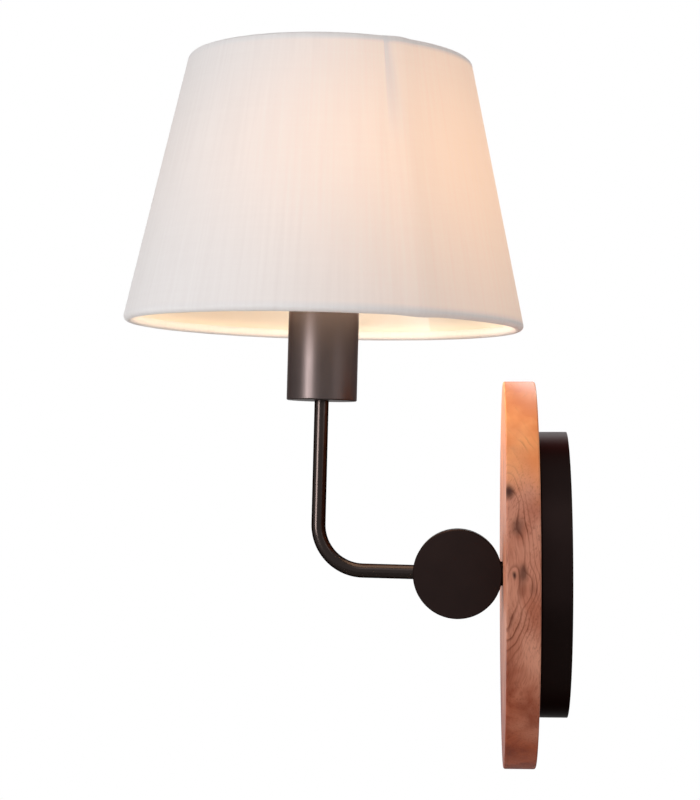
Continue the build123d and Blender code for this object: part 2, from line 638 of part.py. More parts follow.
def make_shade_fabric():
    """Woven cover on the liner, with a rolled hem at each ring, notched for the carrier's arms."""
    sides = [Line(RING_BOTTOM + CONE_OUTWARD * distance, RING_TOP + CONE_OUTWARD * distance)
             for distance in (FABRIC_OUT, FABRIC_IN)]
    edges = sides + hem_edges(RING_TOP, 1) + hem_edges(RING_BOTTOM, -1)
    cover = spun(make_face(Plane.XZ * (Curve() + edges)))
    for notch in carrier_wires(CARRIER_WIRE_D + 2 * ARM_NOTCH_GAP):
        cover -= notch
    return cover


def bulb_form(inset):
    """The bulb's round envelope, or with an inset the space inside it."""
    radius = BULB_D / 2 - inset
    flare = BULB_FLARE_R + inset
    neck = BULB_CAP_D / 2 - BULB_CAP_WALL - FIT
    globe_z = BULB_TIP + BULB_LENGTH - BULB_D / 2
    flare_x = neck + BULB_FLARE_R
    drop = sqrt((BULB_D / 2 + BULB_FLARE_R) ** 2 - flare_x ** 2)
    meeting = degrees(atan2(drop, flare_x))
    flare_z = globe_z - drop
    bottom = BULB_CAP_TOP - BULB_NECK_GRIP
    globe_arc = CenterArc((0, globe_z), radius, -meeting, 90 + meeting)
    flare_arc = CenterArc((flare_x, flare_z), flare, 180 - meeting, meeting)
    rest = Polyline((neck - inset, flare_z), (neck - inset, bottom), (0, bottom), (0, globe_z + radius))
    return spun(make_face(Plane.XZ * (Curve() + [globe_arc, flare_arc, rest])))


def make_bulb_cap():
    """Screw cap of the bulb."""
    outer = BULB_CAP_D / 2
    inner = outer - BULB_CAP_WALL
    hole = BULB_INSULATOR_D / 2
    taper_top = BULB_CAP_BOTTOM + BULB_CAP_TAPER
    floor_top = BULB_CAP_BOTTOM + BULB_CAP_WALL
    return spun(outline(
        (hole, BULB_CAP_BOTTOM), (outer - BULB_CAP_TAPER, BULB_CAP_BOTTOM), (outer, taper_top),
        (outer, BULB_CAP_TOP), (inner, BULB_CAP_TOP), (inner, taper_top), (inner - BULB_CAP_TAPER, floor_top),
        (hole, floor_top)))


def make_bulb_insulator():
    """Glass bead between the cap and the button."""
    button_top = BULB_TIP + BULB_BUTTON_H
    bead = (BULB_CAP_D / 2 - BULB_CAP_TAPER, BULB_CAP_BOTTOM)
    return spun(outline((0, button_top), (BULB_BUTTON_D / 2, button_top), bead, (0, BULB_CAP_BOTTOM)))


def make_bulb_contact():
    """Button at the bulb's tip."""
    return upright_ring(BULB_BUTTON_D / 2, 0, BULB_TIP, BULB_TIP + BULB_BUTTON_H)


def wall_pieces():
    """Every piece that stays with the wall, by node name."""
    return {
        "wall_bracket": make_wall_bracket(),
        "earth_screw": make_earth_screw(),
        "canopy": make_canopy(),
        "canopy_grub_screws": make_canopy_grub_screws(),
        "wood_disc": make_wood_disc(),
        "wood_screws": make_wood_screws(),
        "terminal_block": make_terminal_block(),
        "terminal_screws": make_terminal_screws(),
        "terminal_block_screw": make_terminal_block_screw(),
        "nipple": ring_y(NIPPLE_D, NIPPLE_BORE, NIPPLE_BACK, NIPPLE_FRONT),
        "nipple_washer": ring_y(NIPPLE_WASHER_D, NIPPLE_D + 2 * FIT, NUT_REACH, CANOPY_FLOOR),
        "nipple_nut": make_nipple_nut(),
        "nipple_bush": make_nipple_bush(),
        "spacer_sleeve": ring_y(SLEEVE_D, NIPPLE_D + 2 * FIT, WOOD_FRONT, PIVOT_REACH - YOKE_FACE),
        "knuckle_yoke": make_knuckle_yoke(),
        "wall_leads": lead_pair(wall_lead_points, [LEAD_BEND_R, LEAD_SPLAY_R]),
        "knuckle_leads": lead_pair(knuckle_lead_points, LEAD_BEND_R),
    }


def arm_pieces():
    """Every piece that tilts with the arm, upright, by node name."""
    ring_bore = COLLAR_D / 2 + FACE_GAP
    shell_r = SHELL_BORE / 2
    return {
        "knuckle_drum": make_knuckle_drum(),
        "knuckle_cap": make_knuckle_cap(),
        "pivot_bolt": make_pivot_bolt(),
        "friction_washer": make_friction_washer(),
        "spring_washer": make_spring_washer(),
        "arm_tube": make_arm_tube(),
        "tube_locknut": make_tube_locknut(),
        "lampholder_cup": make_lampholder_cup(),
        "lampholder_nut": make_lampholder_nut(),
        "lampholder_base": make_lampholder_base(),
        "lampholder_insert": upright_ring(INSERT_R, 0, INSERT_BOTTOM, INSERT_TOP),
        "lampholder_skirt": make_lampholder_skirt(),
        "thread_shell": upright_ring(shell_r + SHELL_WALL, shell_r, INSERT_TOP, INSERT_TOP + SHELL_H),
        "centre_contact": make_centre_contact(),
        "lower_shade_ring": upright_ring(SHADE_RING_D / 2, ring_bore, COLLAR_BOTTOM, PLATE_BOTTOM),
        "carrier_plate": upright_ring(CARRIER_PLATE_D / 2, COLLAR_D / 2 + FIT, PLATE_BOTTOM, PLATE_TOP),
        "carrier_arms": carrier_wires(CARRIER_WIRE_D),
        "upper_shade_ring": upright_ring(SHADE_RING_D / 2, ring_bore, PLATE_TOP, PLATE_TOP + SHADE_RING_H),
        "shade_bottom_ring": shade_wire(RING_BOTTOM),
        "shade_top_ring": shade_wire(RING_TOP),
        "shade_liner": make_shade_liner(),
        "shade_fabric": make_shade_fabric(),
        "bulb_glass": bulb_form(0) - bulb_form(BULB_GLASS_T),
        "bulb_cap": make_bulb_cap(),
        "bulb_insulator": make_bulb_insulator(),
        "bulb_contact": make_bulb_contact(),
        "arm_leads": lead_pair(holder_lead_points, [ARM_BEND_R, LEAD_SPLAY_R, LEAD_SPLAY_R]),
    }


def write_node(name, pieces, place):
    """One STEP file for a piece, or for a list of separate solids."""
    solids = [place * piece.solid() for piece in (pieces if isinstance(pieces, list) else [pieces])]
    export_step(solids[0] if len(solids) == 1 else Compound(solids), f"parts/{name}.step")


os.makedirs("parts", exist_ok=True)
for node, made in wall_pieces().items():
    write_node(node, made, Location())
for node, made in arm_pieces().items():
    write_node(node, made, REST)
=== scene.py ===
"""Looks of the tilting wall lamp: finishes, woven shade cover, threads, ribs, screws, studio and camera.

Blender's metres, in the CAD's frame: the wall is the plane y = 0, -Y points out into the room and +Z up.
A size's name ends in its unit, which is mostly mm, as in the part's source.
"""

import logging
import math
from collections.abc import Mapping, Sequence
from dataclasses import dataclass, field
from enum import Enum

import bmesh
import bpy
import numpy as np
from mathutils import Matrix, Vector

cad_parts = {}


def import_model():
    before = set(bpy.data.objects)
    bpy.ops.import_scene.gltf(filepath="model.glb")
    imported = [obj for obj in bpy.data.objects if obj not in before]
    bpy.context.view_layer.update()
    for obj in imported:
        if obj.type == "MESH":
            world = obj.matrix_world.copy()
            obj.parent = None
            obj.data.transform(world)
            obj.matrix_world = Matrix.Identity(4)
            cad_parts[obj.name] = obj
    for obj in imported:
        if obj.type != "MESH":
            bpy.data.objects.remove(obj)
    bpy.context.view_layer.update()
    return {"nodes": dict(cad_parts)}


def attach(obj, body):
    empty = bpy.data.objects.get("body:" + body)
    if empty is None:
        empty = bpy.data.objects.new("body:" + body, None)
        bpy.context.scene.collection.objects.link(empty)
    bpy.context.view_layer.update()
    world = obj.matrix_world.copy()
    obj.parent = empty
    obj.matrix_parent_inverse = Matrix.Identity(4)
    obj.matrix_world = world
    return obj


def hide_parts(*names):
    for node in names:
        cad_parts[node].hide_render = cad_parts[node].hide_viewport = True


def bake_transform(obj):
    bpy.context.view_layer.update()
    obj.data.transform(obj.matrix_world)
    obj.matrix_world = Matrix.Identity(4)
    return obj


LOG = logging.getLogger("wall_lamp")
IMAGE_HEIGHT_PX = 800
SENSOR_MM = 36.0
MM = 0.001
WHITE = (1.0, 1.0, 1.0, 1.0)
NOISE_MIDDLE = 0.5
MIX_FACTOR, MIX_A, MIX_B, MIX_RESULT = 0, 6, 7, 2
THREAD_STEPS, BEAD_SIDES = 56, 10
RIB_SIDES = 10
SCREW_HEAD_SIDES, SCREW_SHANK_SIDES = 48, 24

Inputs = Mapping[str | int, object]
Nodes = Mapping[str, bpy.types.Object]
Tree = bpy.types.NodeTree
Socket = bpy.types.NodeSocket
Material = bpy.types.Material


class Body(Enum):
    """The two CAD bodies that pieces ride on."""

    WALL = "wall_base"
    ARM = "arm"


class Slot(Enum):
    """Names of some of the record's material slots."""

    STEEL = "steel"
    CAP_METAL = "cap_metal"
    WHITE_PLASTIC = "white_plastic"
    SHADE_FABRIC = "shade_fabric"
    LEAD_INSULATION = "lead_insulation"


def linear(hex_colour: str) -> tuple[float, float, float, float]:
    """Turns an sRGB hex colour to linear light.

    Args:
        hex_colour: A colour such as "#B57059".

    Returns:
        Red, green, blue and an alpha of 1.
    """
    parts = [int(hex_colour[i:i + 2], 16) / 255 for i in (1, 3, 5)]
    red, green, blue = [c / 12.92 if c <= 0.04045 else ((c + 0.055) / 1.055) ** 2.4 for c in parts]
    return red, green, blue, 1.0


def per_metre(size_mm: float) -> float:
    """Gives the texture scale at which a feature has this size."""
    return 1 / (size_mm * MM)


def plug(tree: Tree, node: bpy.types.Node, inputs: Inputs) -> None:
    """Links or sets a node's inputs.

    Args:
        tree: The tree that holds the node.
        node: The node.
        inputs: By input name or number, a socket to link or a value to set.
    """
    for key, value in inputs.items():
        if isinstance(value, Socket):
            tree.links.new(value, node.inputs[key])
        else:
            node.inputs[key].default_value = value


def add_node(tree: Tree, kind: str, inputs: Inputs | None = None, **settings: object) -> bpy.types.Node:
    """Adds a node with its settings, values and links.

    Args:
        tree: The shader or geometry tree that gets the node.
        kind: The node's type name.
        inputs: By input name or number, a socket to link or a value to set.
        **settings: Properties of the node itself.

    Returns:
        The new node.
    """
    node = tree.nodes.new(kind)
    for name, value in settings.items():
        setattr(node, name, value)
    plug(tree, node, inputs or {})
    return node


class Finish:
    """A surface finish. Each kind says how its material is made."""

    name: str

    def begin(self) -> tuple[Material, Tree, bpy.types.Node]:
        """Starts the material.

        Returns:
            The material, its node tree and its Principled shader.
        """
        material = bpy.data.materials.new(self.name)
        material.use_nodes = True
        return material, material.node_tree, material.node_tree.nodes["Principled BSDF"]

    def make(self) -> Material:
        """Makes the material."""
        raise NotImplementedError


@dataclass(frozen=True)
class BronzedSteel(Finish):
    """Steel, plated bronze-black and lacquered satin.

    The eye sees a warm near-black with a soft sheen, a faint orange peel and drawing marks along the piece.
    """

    name: str = "bronzed_steel_satin_lacquer"
    colour: str = "#211918"
    cloudy: str = "#291F1D"
    rim_tint: str = "#43373A"
    roughness: float = 0.3
    peel_mm: float = 1.4
    peel: float = 0.06
    peel_depth_mm: float = 0.1
    cloud_mm: float = 26.0
    cloud_roughness: float = 0.06
    streak_mm: float = 0.9
    streak: float = 0.06
    streak_squeeze: float = 0.02

    def make(self) -> Material:
        """Makes the lacquered metal.

        Returns:
            The material.
        """
        material, tree, shader = self.begin()
        place = add_node(tree, "ShaderNodeTexCoord").outputs["Object"]
        drawn = add_node(
            tree, "ShaderNodeMapping", {"Vector": place, "Scale": (1.0, 1.0, self.streak_squeeze)})
        cloud, peel, streaks = (
            add_node(
                tree, "ShaderNodeTexNoise",
                {"Vector": where, "Scale": per_metre(size), "Detail": detail}).outputs["Fac"]
            for where, size, detail in (
                (place, self.cloud_mm, 4.0), (place, self.peel_mm, 2.0),
                (drawn.outputs["Vector"], self.streak_mm, 3.0)))
        tone = add_node(
            tree, "ShaderNodeMix",
            {MIX_FACTOR: cloud, MIX_A: linear(self.colour), MIX_B: linear(self.cloudy)}, data_type="RGBA")
        sheen = add_node(
            tree, "ShaderNodeMapRange",
            {"Value": cloud, "To Min": self.roughness - self.cloud_roughness,
             "To Max": self.roughness + self.cloud_roughness})
        marks = add_node(
            tree, "ShaderNodeMath", {0: streaks, 1: self.streak, 2: sheen.outputs["Result"]},
            operation="MULTIPLY_ADD")
        bump = add_node(
            tree, "ShaderNodeBump",
            {"Height": peel, "Strength": self.peel, "Distance": self.peel_depth_mm * MM})
        plug(tree, shader, {
            "Base Color": tone.outputs[MIX_RESULT], "Metallic": 1.0, "Roughness": marks.outputs["Value"],
            "Specular Tint": linear(self.rim_tint), "Normal": bump.outputs["Normal"]})
        return material


@dataclass(frozen=True)
class OiledWood(Finish):
    """Solid reddish hardwood, turned, sanded and oiled.

    The eye sees growth rings that sweep round a few eyes, fine fibres up the board, orange sapwood at the
    head that also paints the lamp's warm light there, blotches of darker heartwood towards the foot that
    also paint shade there, and the low sheen of oil.
    """

    name: str = "oiled_knotty_hardwood"
    pale: str = "#D5957C"
    tawny: str = "#AE6850"
    # The sapwood tints, orange at the head, also paint the warm light that the lamp casts there.
    sapwood_and_lamp_light: str = "#FCA96C"
    deep_sapwood_and_lamp_light: str = "#D66E38"
    line: str = "#6C3524"
    # The heartwood and stain tints, darker at the foot, also paint the shade that falls there.
    heartwood_and_shade: str = "#A24C2C"
    stain: str = "#6A220E"
    knot: str = "#3A1C16"
    # The end-grain tint, darker where the rim faces up or down, also paints shade on the rim's top and
    # underside.
    end_grain_and_shade: str = "#9A4A28"
    pith_mm: tuple[float, float, float] = (38.0, 95.0, 0.0)
    pith_upright: float = 0.25
    ring_mm: float = 5.0
    fine_warp_mm: tuple[float, float] = (12.0, 4.0)
    broad_warp_mm: tuple[float, float] = (38.0, 30.0)
    cloud_mm: float = 17.0
    patch_mm: float = 24.0
    fibre_mm: float = 0.8
    fibre_length_mm: float = 22.0
    fibre_relief: float = 0.2
    fibre_depth_mm: float = 0.1
    # Heights where the heartwood's painted shade and the sapwood's painted lamp light come in.
    heartwood_and_shade_z_mm: tuple[float, float] = (-22.0, -94.0)
    sapwood_and_light_z_mm: tuple[float, float] = (26.0, 78.0)
    drift_size_mm: float = 42.0
    drift_mm: float = 110.0
    along: float = 0.55
    roughness: tuple[float, float] = (0.36, 0.6)
    # Where in a ring its dark line begins and where it is darkest.
    late_wood: tuple[float, float] = (0.55, 0.92)
    # Values of a noise, or of the slant at the rim, between which each tint goes from none to its most.
    tone_range: tuple[float, float] = (0.32, 0.68)
    ring_range: tuple[float, float] = (0.44, 0.66)
    broken_range: tuple[float, float] = (0.36, 0.58)
    streak_range: tuple[float, float] = (0.5, 0.72)
    stain_range: tuple[float, float] = (0.37, 0.57)
    deep_sapwood_and_light_range: tuple[float, float] = (0.58, 0.4)
    end_grain_range: tuple[float, float] = (0.8, 1.0)
    ring_most: float = 0.42
    ring_round_eyes: float = 0.62
    broken_least: float = 0.25
    streak_most: float = 0.45
    stain_most: float = 0.8
    # How much the sapwood's painted lamp light shows: at most, in its deeper patches, and on the plate's
    # face.
    sapwood_and_light_most: float = 0.95
    deep_sapwood_and_light_most: float = 0.6
    sapwood_and_light_on_face: float = 0.4
    end_grain_most: float = 0.75
    # Shares of an eye's reach: how far it bends the rings, by how much, and how wide its dark middle is.
    eye_bends_to: float = 1.6
    eye_bends_by: float = 1.3
    eye_middle: float = 0.5
    # Each eye: its place, its reach, and how dark its middle is.
    eyes_mm: tuple[tuple[float, float, float, float, float], ...] = (
        (96.0, -34.0, 46.5, 9.0, 0.95), (102.7, -29.0, 29.0, 10.0, 0.6), (106.5, -26.5, 6.0, 10.0, 0.75),
        (106.5, -31.5, 5.0, 3.6, 1.0), (106.9, -21.5, -2.0, 6.0, 0.25), (105.5, -33.0, -18.0, 11.0, 0.15),
        (24.0, -36.0, 62.0, 14.0, 0.8), (-58.0, -34.0, -38.0, 17.0, 0.7), (-99.0, -25.0, 36.0, 10.0, 0.8),
        (-26.0, -28.0, -103.0, 11.0, 0.5), (-40.0, -20.0, 93.0, 10.0, 0.7))

    def warped(self, tree: Tree, place: Socket, size_mm: float, reach_mm: float) -> Socket:
        """Moves places about by a noise.

        Args:
            tree: The material's tree.
            place: The places.
            size_mm: The noise's size.
            reach_mm: How far it moves them.

        Returns:
            The moved places.
        """
        noise = add_node(
            tree, "ShaderNodeTexNoise", {"Vector": place, "Scale": per_metre(size_mm), "Detail": 2.0})
        shift = add_node(
            tree, "ShaderNodeVectorMath", {0: noise.outputs["Color"], 1: (NOISE_MIDDLE,) * 3},
            operation="SUBTRACT")
        return add_node(
            tree, "ShaderNodeVectorMath", {0: shift.outputs["Vector"], 1: (reach_mm * MM,) * 3, 2: place},
            operation="MULTIPLY_ADD").outputs["Vector"]

    def bent_rings(self, tree: Tree, place: Socket, radius: Socket) -> tuple[Socket, Socket, Socket]:
        """Bends the rings round the eyes.

        Args:
            tree: The material's tree.
            place: The places on the board.
            radius: Their distances from the pith.

        Returns:
            The bent distances, how near an eye is, and how much of an eye's dark middle shows.
        """
        core = halo = None
        for x, y, z, reach, middle in self.eyes_mm:
            spot = (x * MM, y * MM, z * MM * self.along)
            away = add_node(
                tree, "ShaderNodeVectorMath", {0: place, 1: spot}, operation="DISTANCE").outputs["Value"]
            near, dark = (
                add_node(
                    tree, "ShaderNodeMapRange",
                    {"Value": away, "From Max": share * reach * MM, "To Min": most, "To Max": 0.0},
                    interpolation_type="SMOOTHERSTEP").outputs["Result"]
                for share, most in ((self.eye_bends_to, 1.0), (self.eye_middle, middle)))
            radius = add_node(
                tree, "ShaderNodeMath", {0: near, 1: self.eye_bends_by * reach * MM, 2: radius},
                operation="MULTIPLY_ADD").outputs["Value"]
            core, halo = (
                new if old is None else add_node(
                    tree, "ShaderNodeMath", {0: old, 1: new}, operation="MAXIMUM").outputs["Value"]
                for old, new in ((core, dark), (halo, near)))
        return radius, halo, core

    def ring_lines(self, tree: Tree, radius: Socket, halo: Socket, patch: Socket, cloud: Socket) -> Socket:
        """Draws the rings' dark lines, clear round the eyes and in patches elsewhere.

        Args:
            tree: The material's tree.
            radius: The bent distances from the pith.
            halo: How near an eye is.
            patch: The noise that picks the patches.
            cloud: The noise that breaks the lines.

        Returns:
            How much of a line shows.
        """
        turns = add_node(
            tree, "ShaderNodeMath", {0: radius, 1: per_metre(self.ring_mm)}, operation="MULTIPLY")
        phase = add_node(
            tree, "ShaderNodeMath", {0: turns.outputs["Value"]}, operation="FRACT").outputs["Value"]
        begins, darkest = self.late_wood
        rising = add_node(
            tree, "ShaderNodeMapRange", {"Value": phase, "From Min": begins, "From Max": darkest},
            interpolation_type="SMOOTHSTEP")
        falling = add_node(
            tree, "ShaderNodeMapRange",
            {"Value": phase, "From Min": darkest, "To Min": 1.0, "To Max": 0.0})
        low, high = self.ring_range
        shown = add_node(
            tree, "ShaderNodeMapRange",
            {"Value": patch, "From Min": low, "From Max": high, "To Max": self.ring_most})
        drawn = add_node(
            tree, "ShaderNodeMath", {0: halo, 1: self.ring_round_eyes, 2: shown.outputs["Result"]},
            operation="MULTIPLY_ADD", use_clamp=True)
        low, high = self.broken_range
        broken = add_node(
            tree, "ShaderNodeMapRange",
            {"Value": cloud, "From Min": low, "From Max": high, "To Min": self.broken_least})
        lines = rising.outputs["Result"]
        for share in (falling.outputs["Result"], drawn.outputs["Value"], broken.outputs["Result"]):
            lines = add_node(
                tree, "ShaderNodeMath", {0: lines, 1: share}, operation="MULTIPLY").outputs["Value"]
        return lines

    def heartwood_shade_and_sapwood_light(
        self, tree: Tree, place: Socket, drifting: Socket, outward: Socket
    ) -> tuple[Socket, Socket]:
        """Parts heartwood with painted shade at the foot from sapwood with painted lamp light at the head.

        Args:
            tree: The material's tree.
            place: The places.
            drifting: The places on the board, by which the two drift up and down.
            outward: The Y part of the surface's normal, which is -1 on the plate's face.

        Returns:
            How much heartwood with painted shade, and how much sapwood with painted lamp light, there is.
        """
        height = add_node(tree, "ShaderNodeSeparateXYZ", {"Vector": place}).outputs["Z"]
        sway = add_node(
            tree, "ShaderNodeTexNoise",
            {"Vector": drifting, "Scale": per_metre(self.drift_size_mm), "Detail": 3.0})
        drift = add_node(
            tree, "ShaderNodeMath", {0: sway.outputs["Fac"], 1: -self.drift_mm * MM, 2: height},
            operation="MULTIPLY_ADD")
        usual = NOISE_MIDDLE * self.drift_mm
        foot, head = (
            add_node(
                tree, "ShaderNodeMapRange",
                {"Value": drift.outputs["Value"], "From Min": (start - usual) * MM,
                 "From Max": (end - usual) * MM, "To Max": most},
                interpolation_type="SMOOTHSTEP").outputs["Result"]
            for (start, end), most in ((self.heartwood_and_shade_z_mm, 1.0), (self.sapwood_and_light_z_mm, self.sapwood_and_light_most)))
        rim = add_node(
            tree, "ShaderNodeMapRange",
            {"Value": outward, "From Max": -1.0, "To Min": 1.0, "To Max": self.sapwood_and_light_on_face})
        head = add_node(tree, "ShaderNodeMath", {0: head, 1: rim.outputs["Result"]}, operation="MULTIPLY")
        return foot, head.outputs["Value"]

    def make(self) -> Material:
        """Makes the wood from its rings, eyes, fibres and blotches, darker where the rim cuts the fibres,
        which also paints shade on the rim's top and underside.

        Returns:
            The material.
        """
        material, tree, shader = self.begin()
        given = add_node(tree, "ShaderNodeTexCoord").outputs
        board = add_node(
            tree, "ShaderNodeMapping", {"Vector": given["Object"], "Scale": (1.0, 1.0, self.along)})
        fine = self.warped(tree, board.outputs["Vector"], *self.fine_warp_mm)
        grain = self.warped(tree, fine, *self.broad_warp_mm)
        thin = self.fibre_mm / self.fibre_length_mm
        strands = add_node(tree, "ShaderNodeMapping", {"Vector": grain, "Scale": (1.0, 1.0, thin)})
        patch, cloud, fibre = (
            add_node(
                tree, "ShaderNodeTexNoise",
                {"Vector": where, "Scale": per_metre(size), "Detail": detail}).outputs["Fac"]
            for where, size, detail in (
                (fine, self.patch_mm, 3.0), (grain, self.cloud_mm, 5.0),
                (strands.outputs["Vector"], self.fibre_mm, 4.0)))
        flat = add_node(
            tree, "ShaderNodeVectorMath", {0: grain, 1: (1.0, 1.0, self.pith_upright)}, operation="MULTIPLY")
        radius = add_node(
            tree, "ShaderNodeVectorMath",
            {0: flat.outputs["Vector"], 1: tuple(v * MM for v in self.pith_mm)}, operation="DISTANCE")
        bent, halo, core = self.bent_rings(tree, fine, radius.outputs["Value"])
        lines = self.ring_lines(tree, bent, halo, patch, cloud)
        facing = add_node(tree, "ShaderNodeSeparateXYZ", {"Vector": given["Normal"]}).outputs
        # Darker towards the foot, partly heartwood and partly painted shade; orange towards the head, partly
        # sapwood and partly the lamp's painted warm light.
        foot, head = self.heartwood_shade_and_sapwood_light(tree, given["Object"], fine, facing["Y"])
        across = add_node(tree, "ShaderNodeMath", {0: facing["Z"]}, operation="ABSOLUTE")
        tone, streak, end_grain_and_shade_amount, blotch, deep_sapwood_and_light_patches = (
            add_node(
                tree, "ShaderNodeMapRange",
                {"Value": value, "From Min": low, "From Max": high, "To Max": most}).outputs["Result"]
            for value, (low, high), most in (
                (cloud, self.tone_range, 1.0), (fibre, self.streak_range, self.streak_most),
                (across.outputs["Value"], self.end_grain_range, self.end_grain_most),
                (cloud, self.stain_range, self.stain_most),
                (patch, self.deep_sapwood_and_light_range, self.deep_sapwood_and_light_most)))
        # The stain blotches show only at the foot and the deep orange patches only at the head, so they
        # carry the painted shade and painted lamp light too.
        stained_and_shaded, warm = (
            add_node(tree, "ShaderNodeMath", {0: amount, 1: zone}, operation="MULTIPLY").outputs["Value"]
            for amount, zone in ((blotch, foot), (deep_sapwood_and_light_patches, head)))
        colour = linear(self.pale)
        for amount, tint in (
                (tone, self.tawny), (foot, self.heartwood_and_shade), (streak, self.line), (head, self.sapwood_and_lamp_light),
                (warm, self.deep_sapwood_and_lamp_light), (end_grain_and_shade_amount, self.end_grain_and_shade), (stained_and_shaded, self.stain), (lines, self.line),
                (core, self.knot)):
            colour = add_node(
                tree, "ShaderNodeMix", {MIX_FACTOR: amount, MIX_A: colour, MIX_B: linear(tint)},
                data_type="RGBA").outputs[MIX_RESULT]
        oiled, dry = self.roughness
        sheen = add_node(tree, "ShaderNodeMapRange", {"Value": fibre, "To Min": oiled, "To Max": dry})
        bump = add_node(
            tree, "ShaderNodeBump",
            {"Height": fibre, "Strength": self.fibre_relief, "Distance": self.fibre_depth_mm * MM})
        plug(tree, shader, {
            "Base Color": colour, "Roughness": sheen.outputs["Result"], "Specular IOR Level": 0.12,
            "Normal": bump.outputs["Normal"]})
        return material


@dataclass(frozen=True)
class WovenCotton(Finish):
    """White plain-weave cotton, stretched on a stiff cone and lit from within.

    The eye sees fine crossing threads, a few faint slubs up the cloth, and the bulb's light warm through it,
    which is a glow painted on the cloth as emission.
    """

    name: str = "woven_cotton_shade_cloth"
    colour: str = "#EAE7E7"
    slub_tone: str = "#E6E2E2"
    # The colour of the painted glow: emission that stands for the bulb's light through the cloth.
    glow: str = "#FFB053"
    # Real threads are 0.25 mm apart, and these are three times as coarse, so that a close render shows them.
    thread_mm: float = 0.75
    slub_mm: float = 2.2
    slub_length_mm: float = 70.0
    slub_across: float = 0.3
    slub_relief: float = 0.6
    # How far below and above its usual value the slubs' noise runs from open cloth to dense cloth.
    slub_range: tuple[float, float] = (0.2, 0.25)
    # How much of the painted glow comes through open cloth and through dense cloth.
    through: tuple[float, float] = (1.02, 0.97)
    relief: float = 0.04
    relief_mm: float = 0.1

    def make(self) -> Material:
        """Makes the cloth, with the painted glow that the cover's mesh holds.

        Returns:
            The material.
        """
        material, tree, shader = self.begin()
        cloth = add_node(tree, "ShaderNodeUVMap", uv_map="cloth").outputs["UV"]
        across = add_node(tree, "ShaderNodeSeparateXYZ", {"Vector": cloth})
        waves = []
        for axis in ("X", "Y"):
            angle = add_node(
                tree, "ShaderNodeMath", {0: across.outputs[axis], 1: math.pi * per_metre(self.thread_mm)},
                operation="MULTIPLY")
            waves.append(add_node(tree, "ShaderNodeMath", {0: angle.outputs["Value"]}, operation="SINE"))
        weave = add_node(
            tree, "ShaderNodeMath", {0: waves[0].outputs["Value"], 1: waves[1].outputs["Value"]},
            operation="MULTIPLY")
        thin = self.slub_mm / self.slub_length_mm
        slubs = []
        for scale in ((1.0, thin, 1.0), (thin, 1.0, 1.0)):
            drawn = add_node(tree, "ShaderNodeMapping", {"Vector": cloth, "Scale": scale})
            slubs.append(add_node(
                tree, "ShaderNodeTexNoise",
                {"Vector": drawn.outputs["Vector"], "Scale": per_metre(self.slub_mm), "Detail": 3.0}))
        upright, level = (noise.outputs["Fac"] for noise in slubs)
        slub = add_node(
            tree, "ShaderNodeMath", {0: level, 1: self.slub_across, 2: upright},
            operation="MULTIPLY_ADD").outputs["Value"]
        usual = NOISE_MIDDLE * (1 + self.slub_across)
        below, above = self.slub_range
        dense = add_node(
            tree, "ShaderNodeMapRange",
            {"Value": slub, "From Min": usual - below, "From Max": usual + above}).outputs["Result"]
        tone = add_node(
            tree, "ShaderNodeMix",
            {MIX_FACTOR: dense, MIX_A: linear(self.colour), MIX_B: linear(self.slub_tone)},
            data_type="RGBA")
        most, least = self.through
        through = add_node(tree, "ShaderNodeMapRange", {"Value": dense, "To Min": most, "To Max": least})
        # The painted glow: emission that stands for the bulb's light coming through the cloth, less where
        # slubs are dense.
        lamp = add_node(tree, "ShaderNodeAttribute", attribute_name="painted_bulb_glow")
        strength = add_node(
            tree, "ShaderNodeMath", {0: lamp.outputs["Fac"], 1: through.outputs["Result"]},
            operation="MULTIPLY")
        relief = add_node(
            tree, "ShaderNodeMath", {0: slub, 1: self.slub_relief, 2: weave.outputs["Value"]},
            operation="MULTIPLY_ADD")
        bump = add_node(
            tree, "ShaderNodeBump",
            {"Height": relief.outputs["Value"], "Strength": self.relief, "Distance": self.relief_mm * MM})
        plug(tree, shader, {
            "Base Color": tone.outputs[MIX_RESULT], "Roughness": 0.92, "Specular IOR Level": 0.2,
            "Sheen Weight": 0.15, "Sheen Roughness": 0.5, "Emission Color": linear(self.glow),
            "Emission Strength": strength.outputs["Value"], "Normal": bump.outputs["Normal"]})
        return material


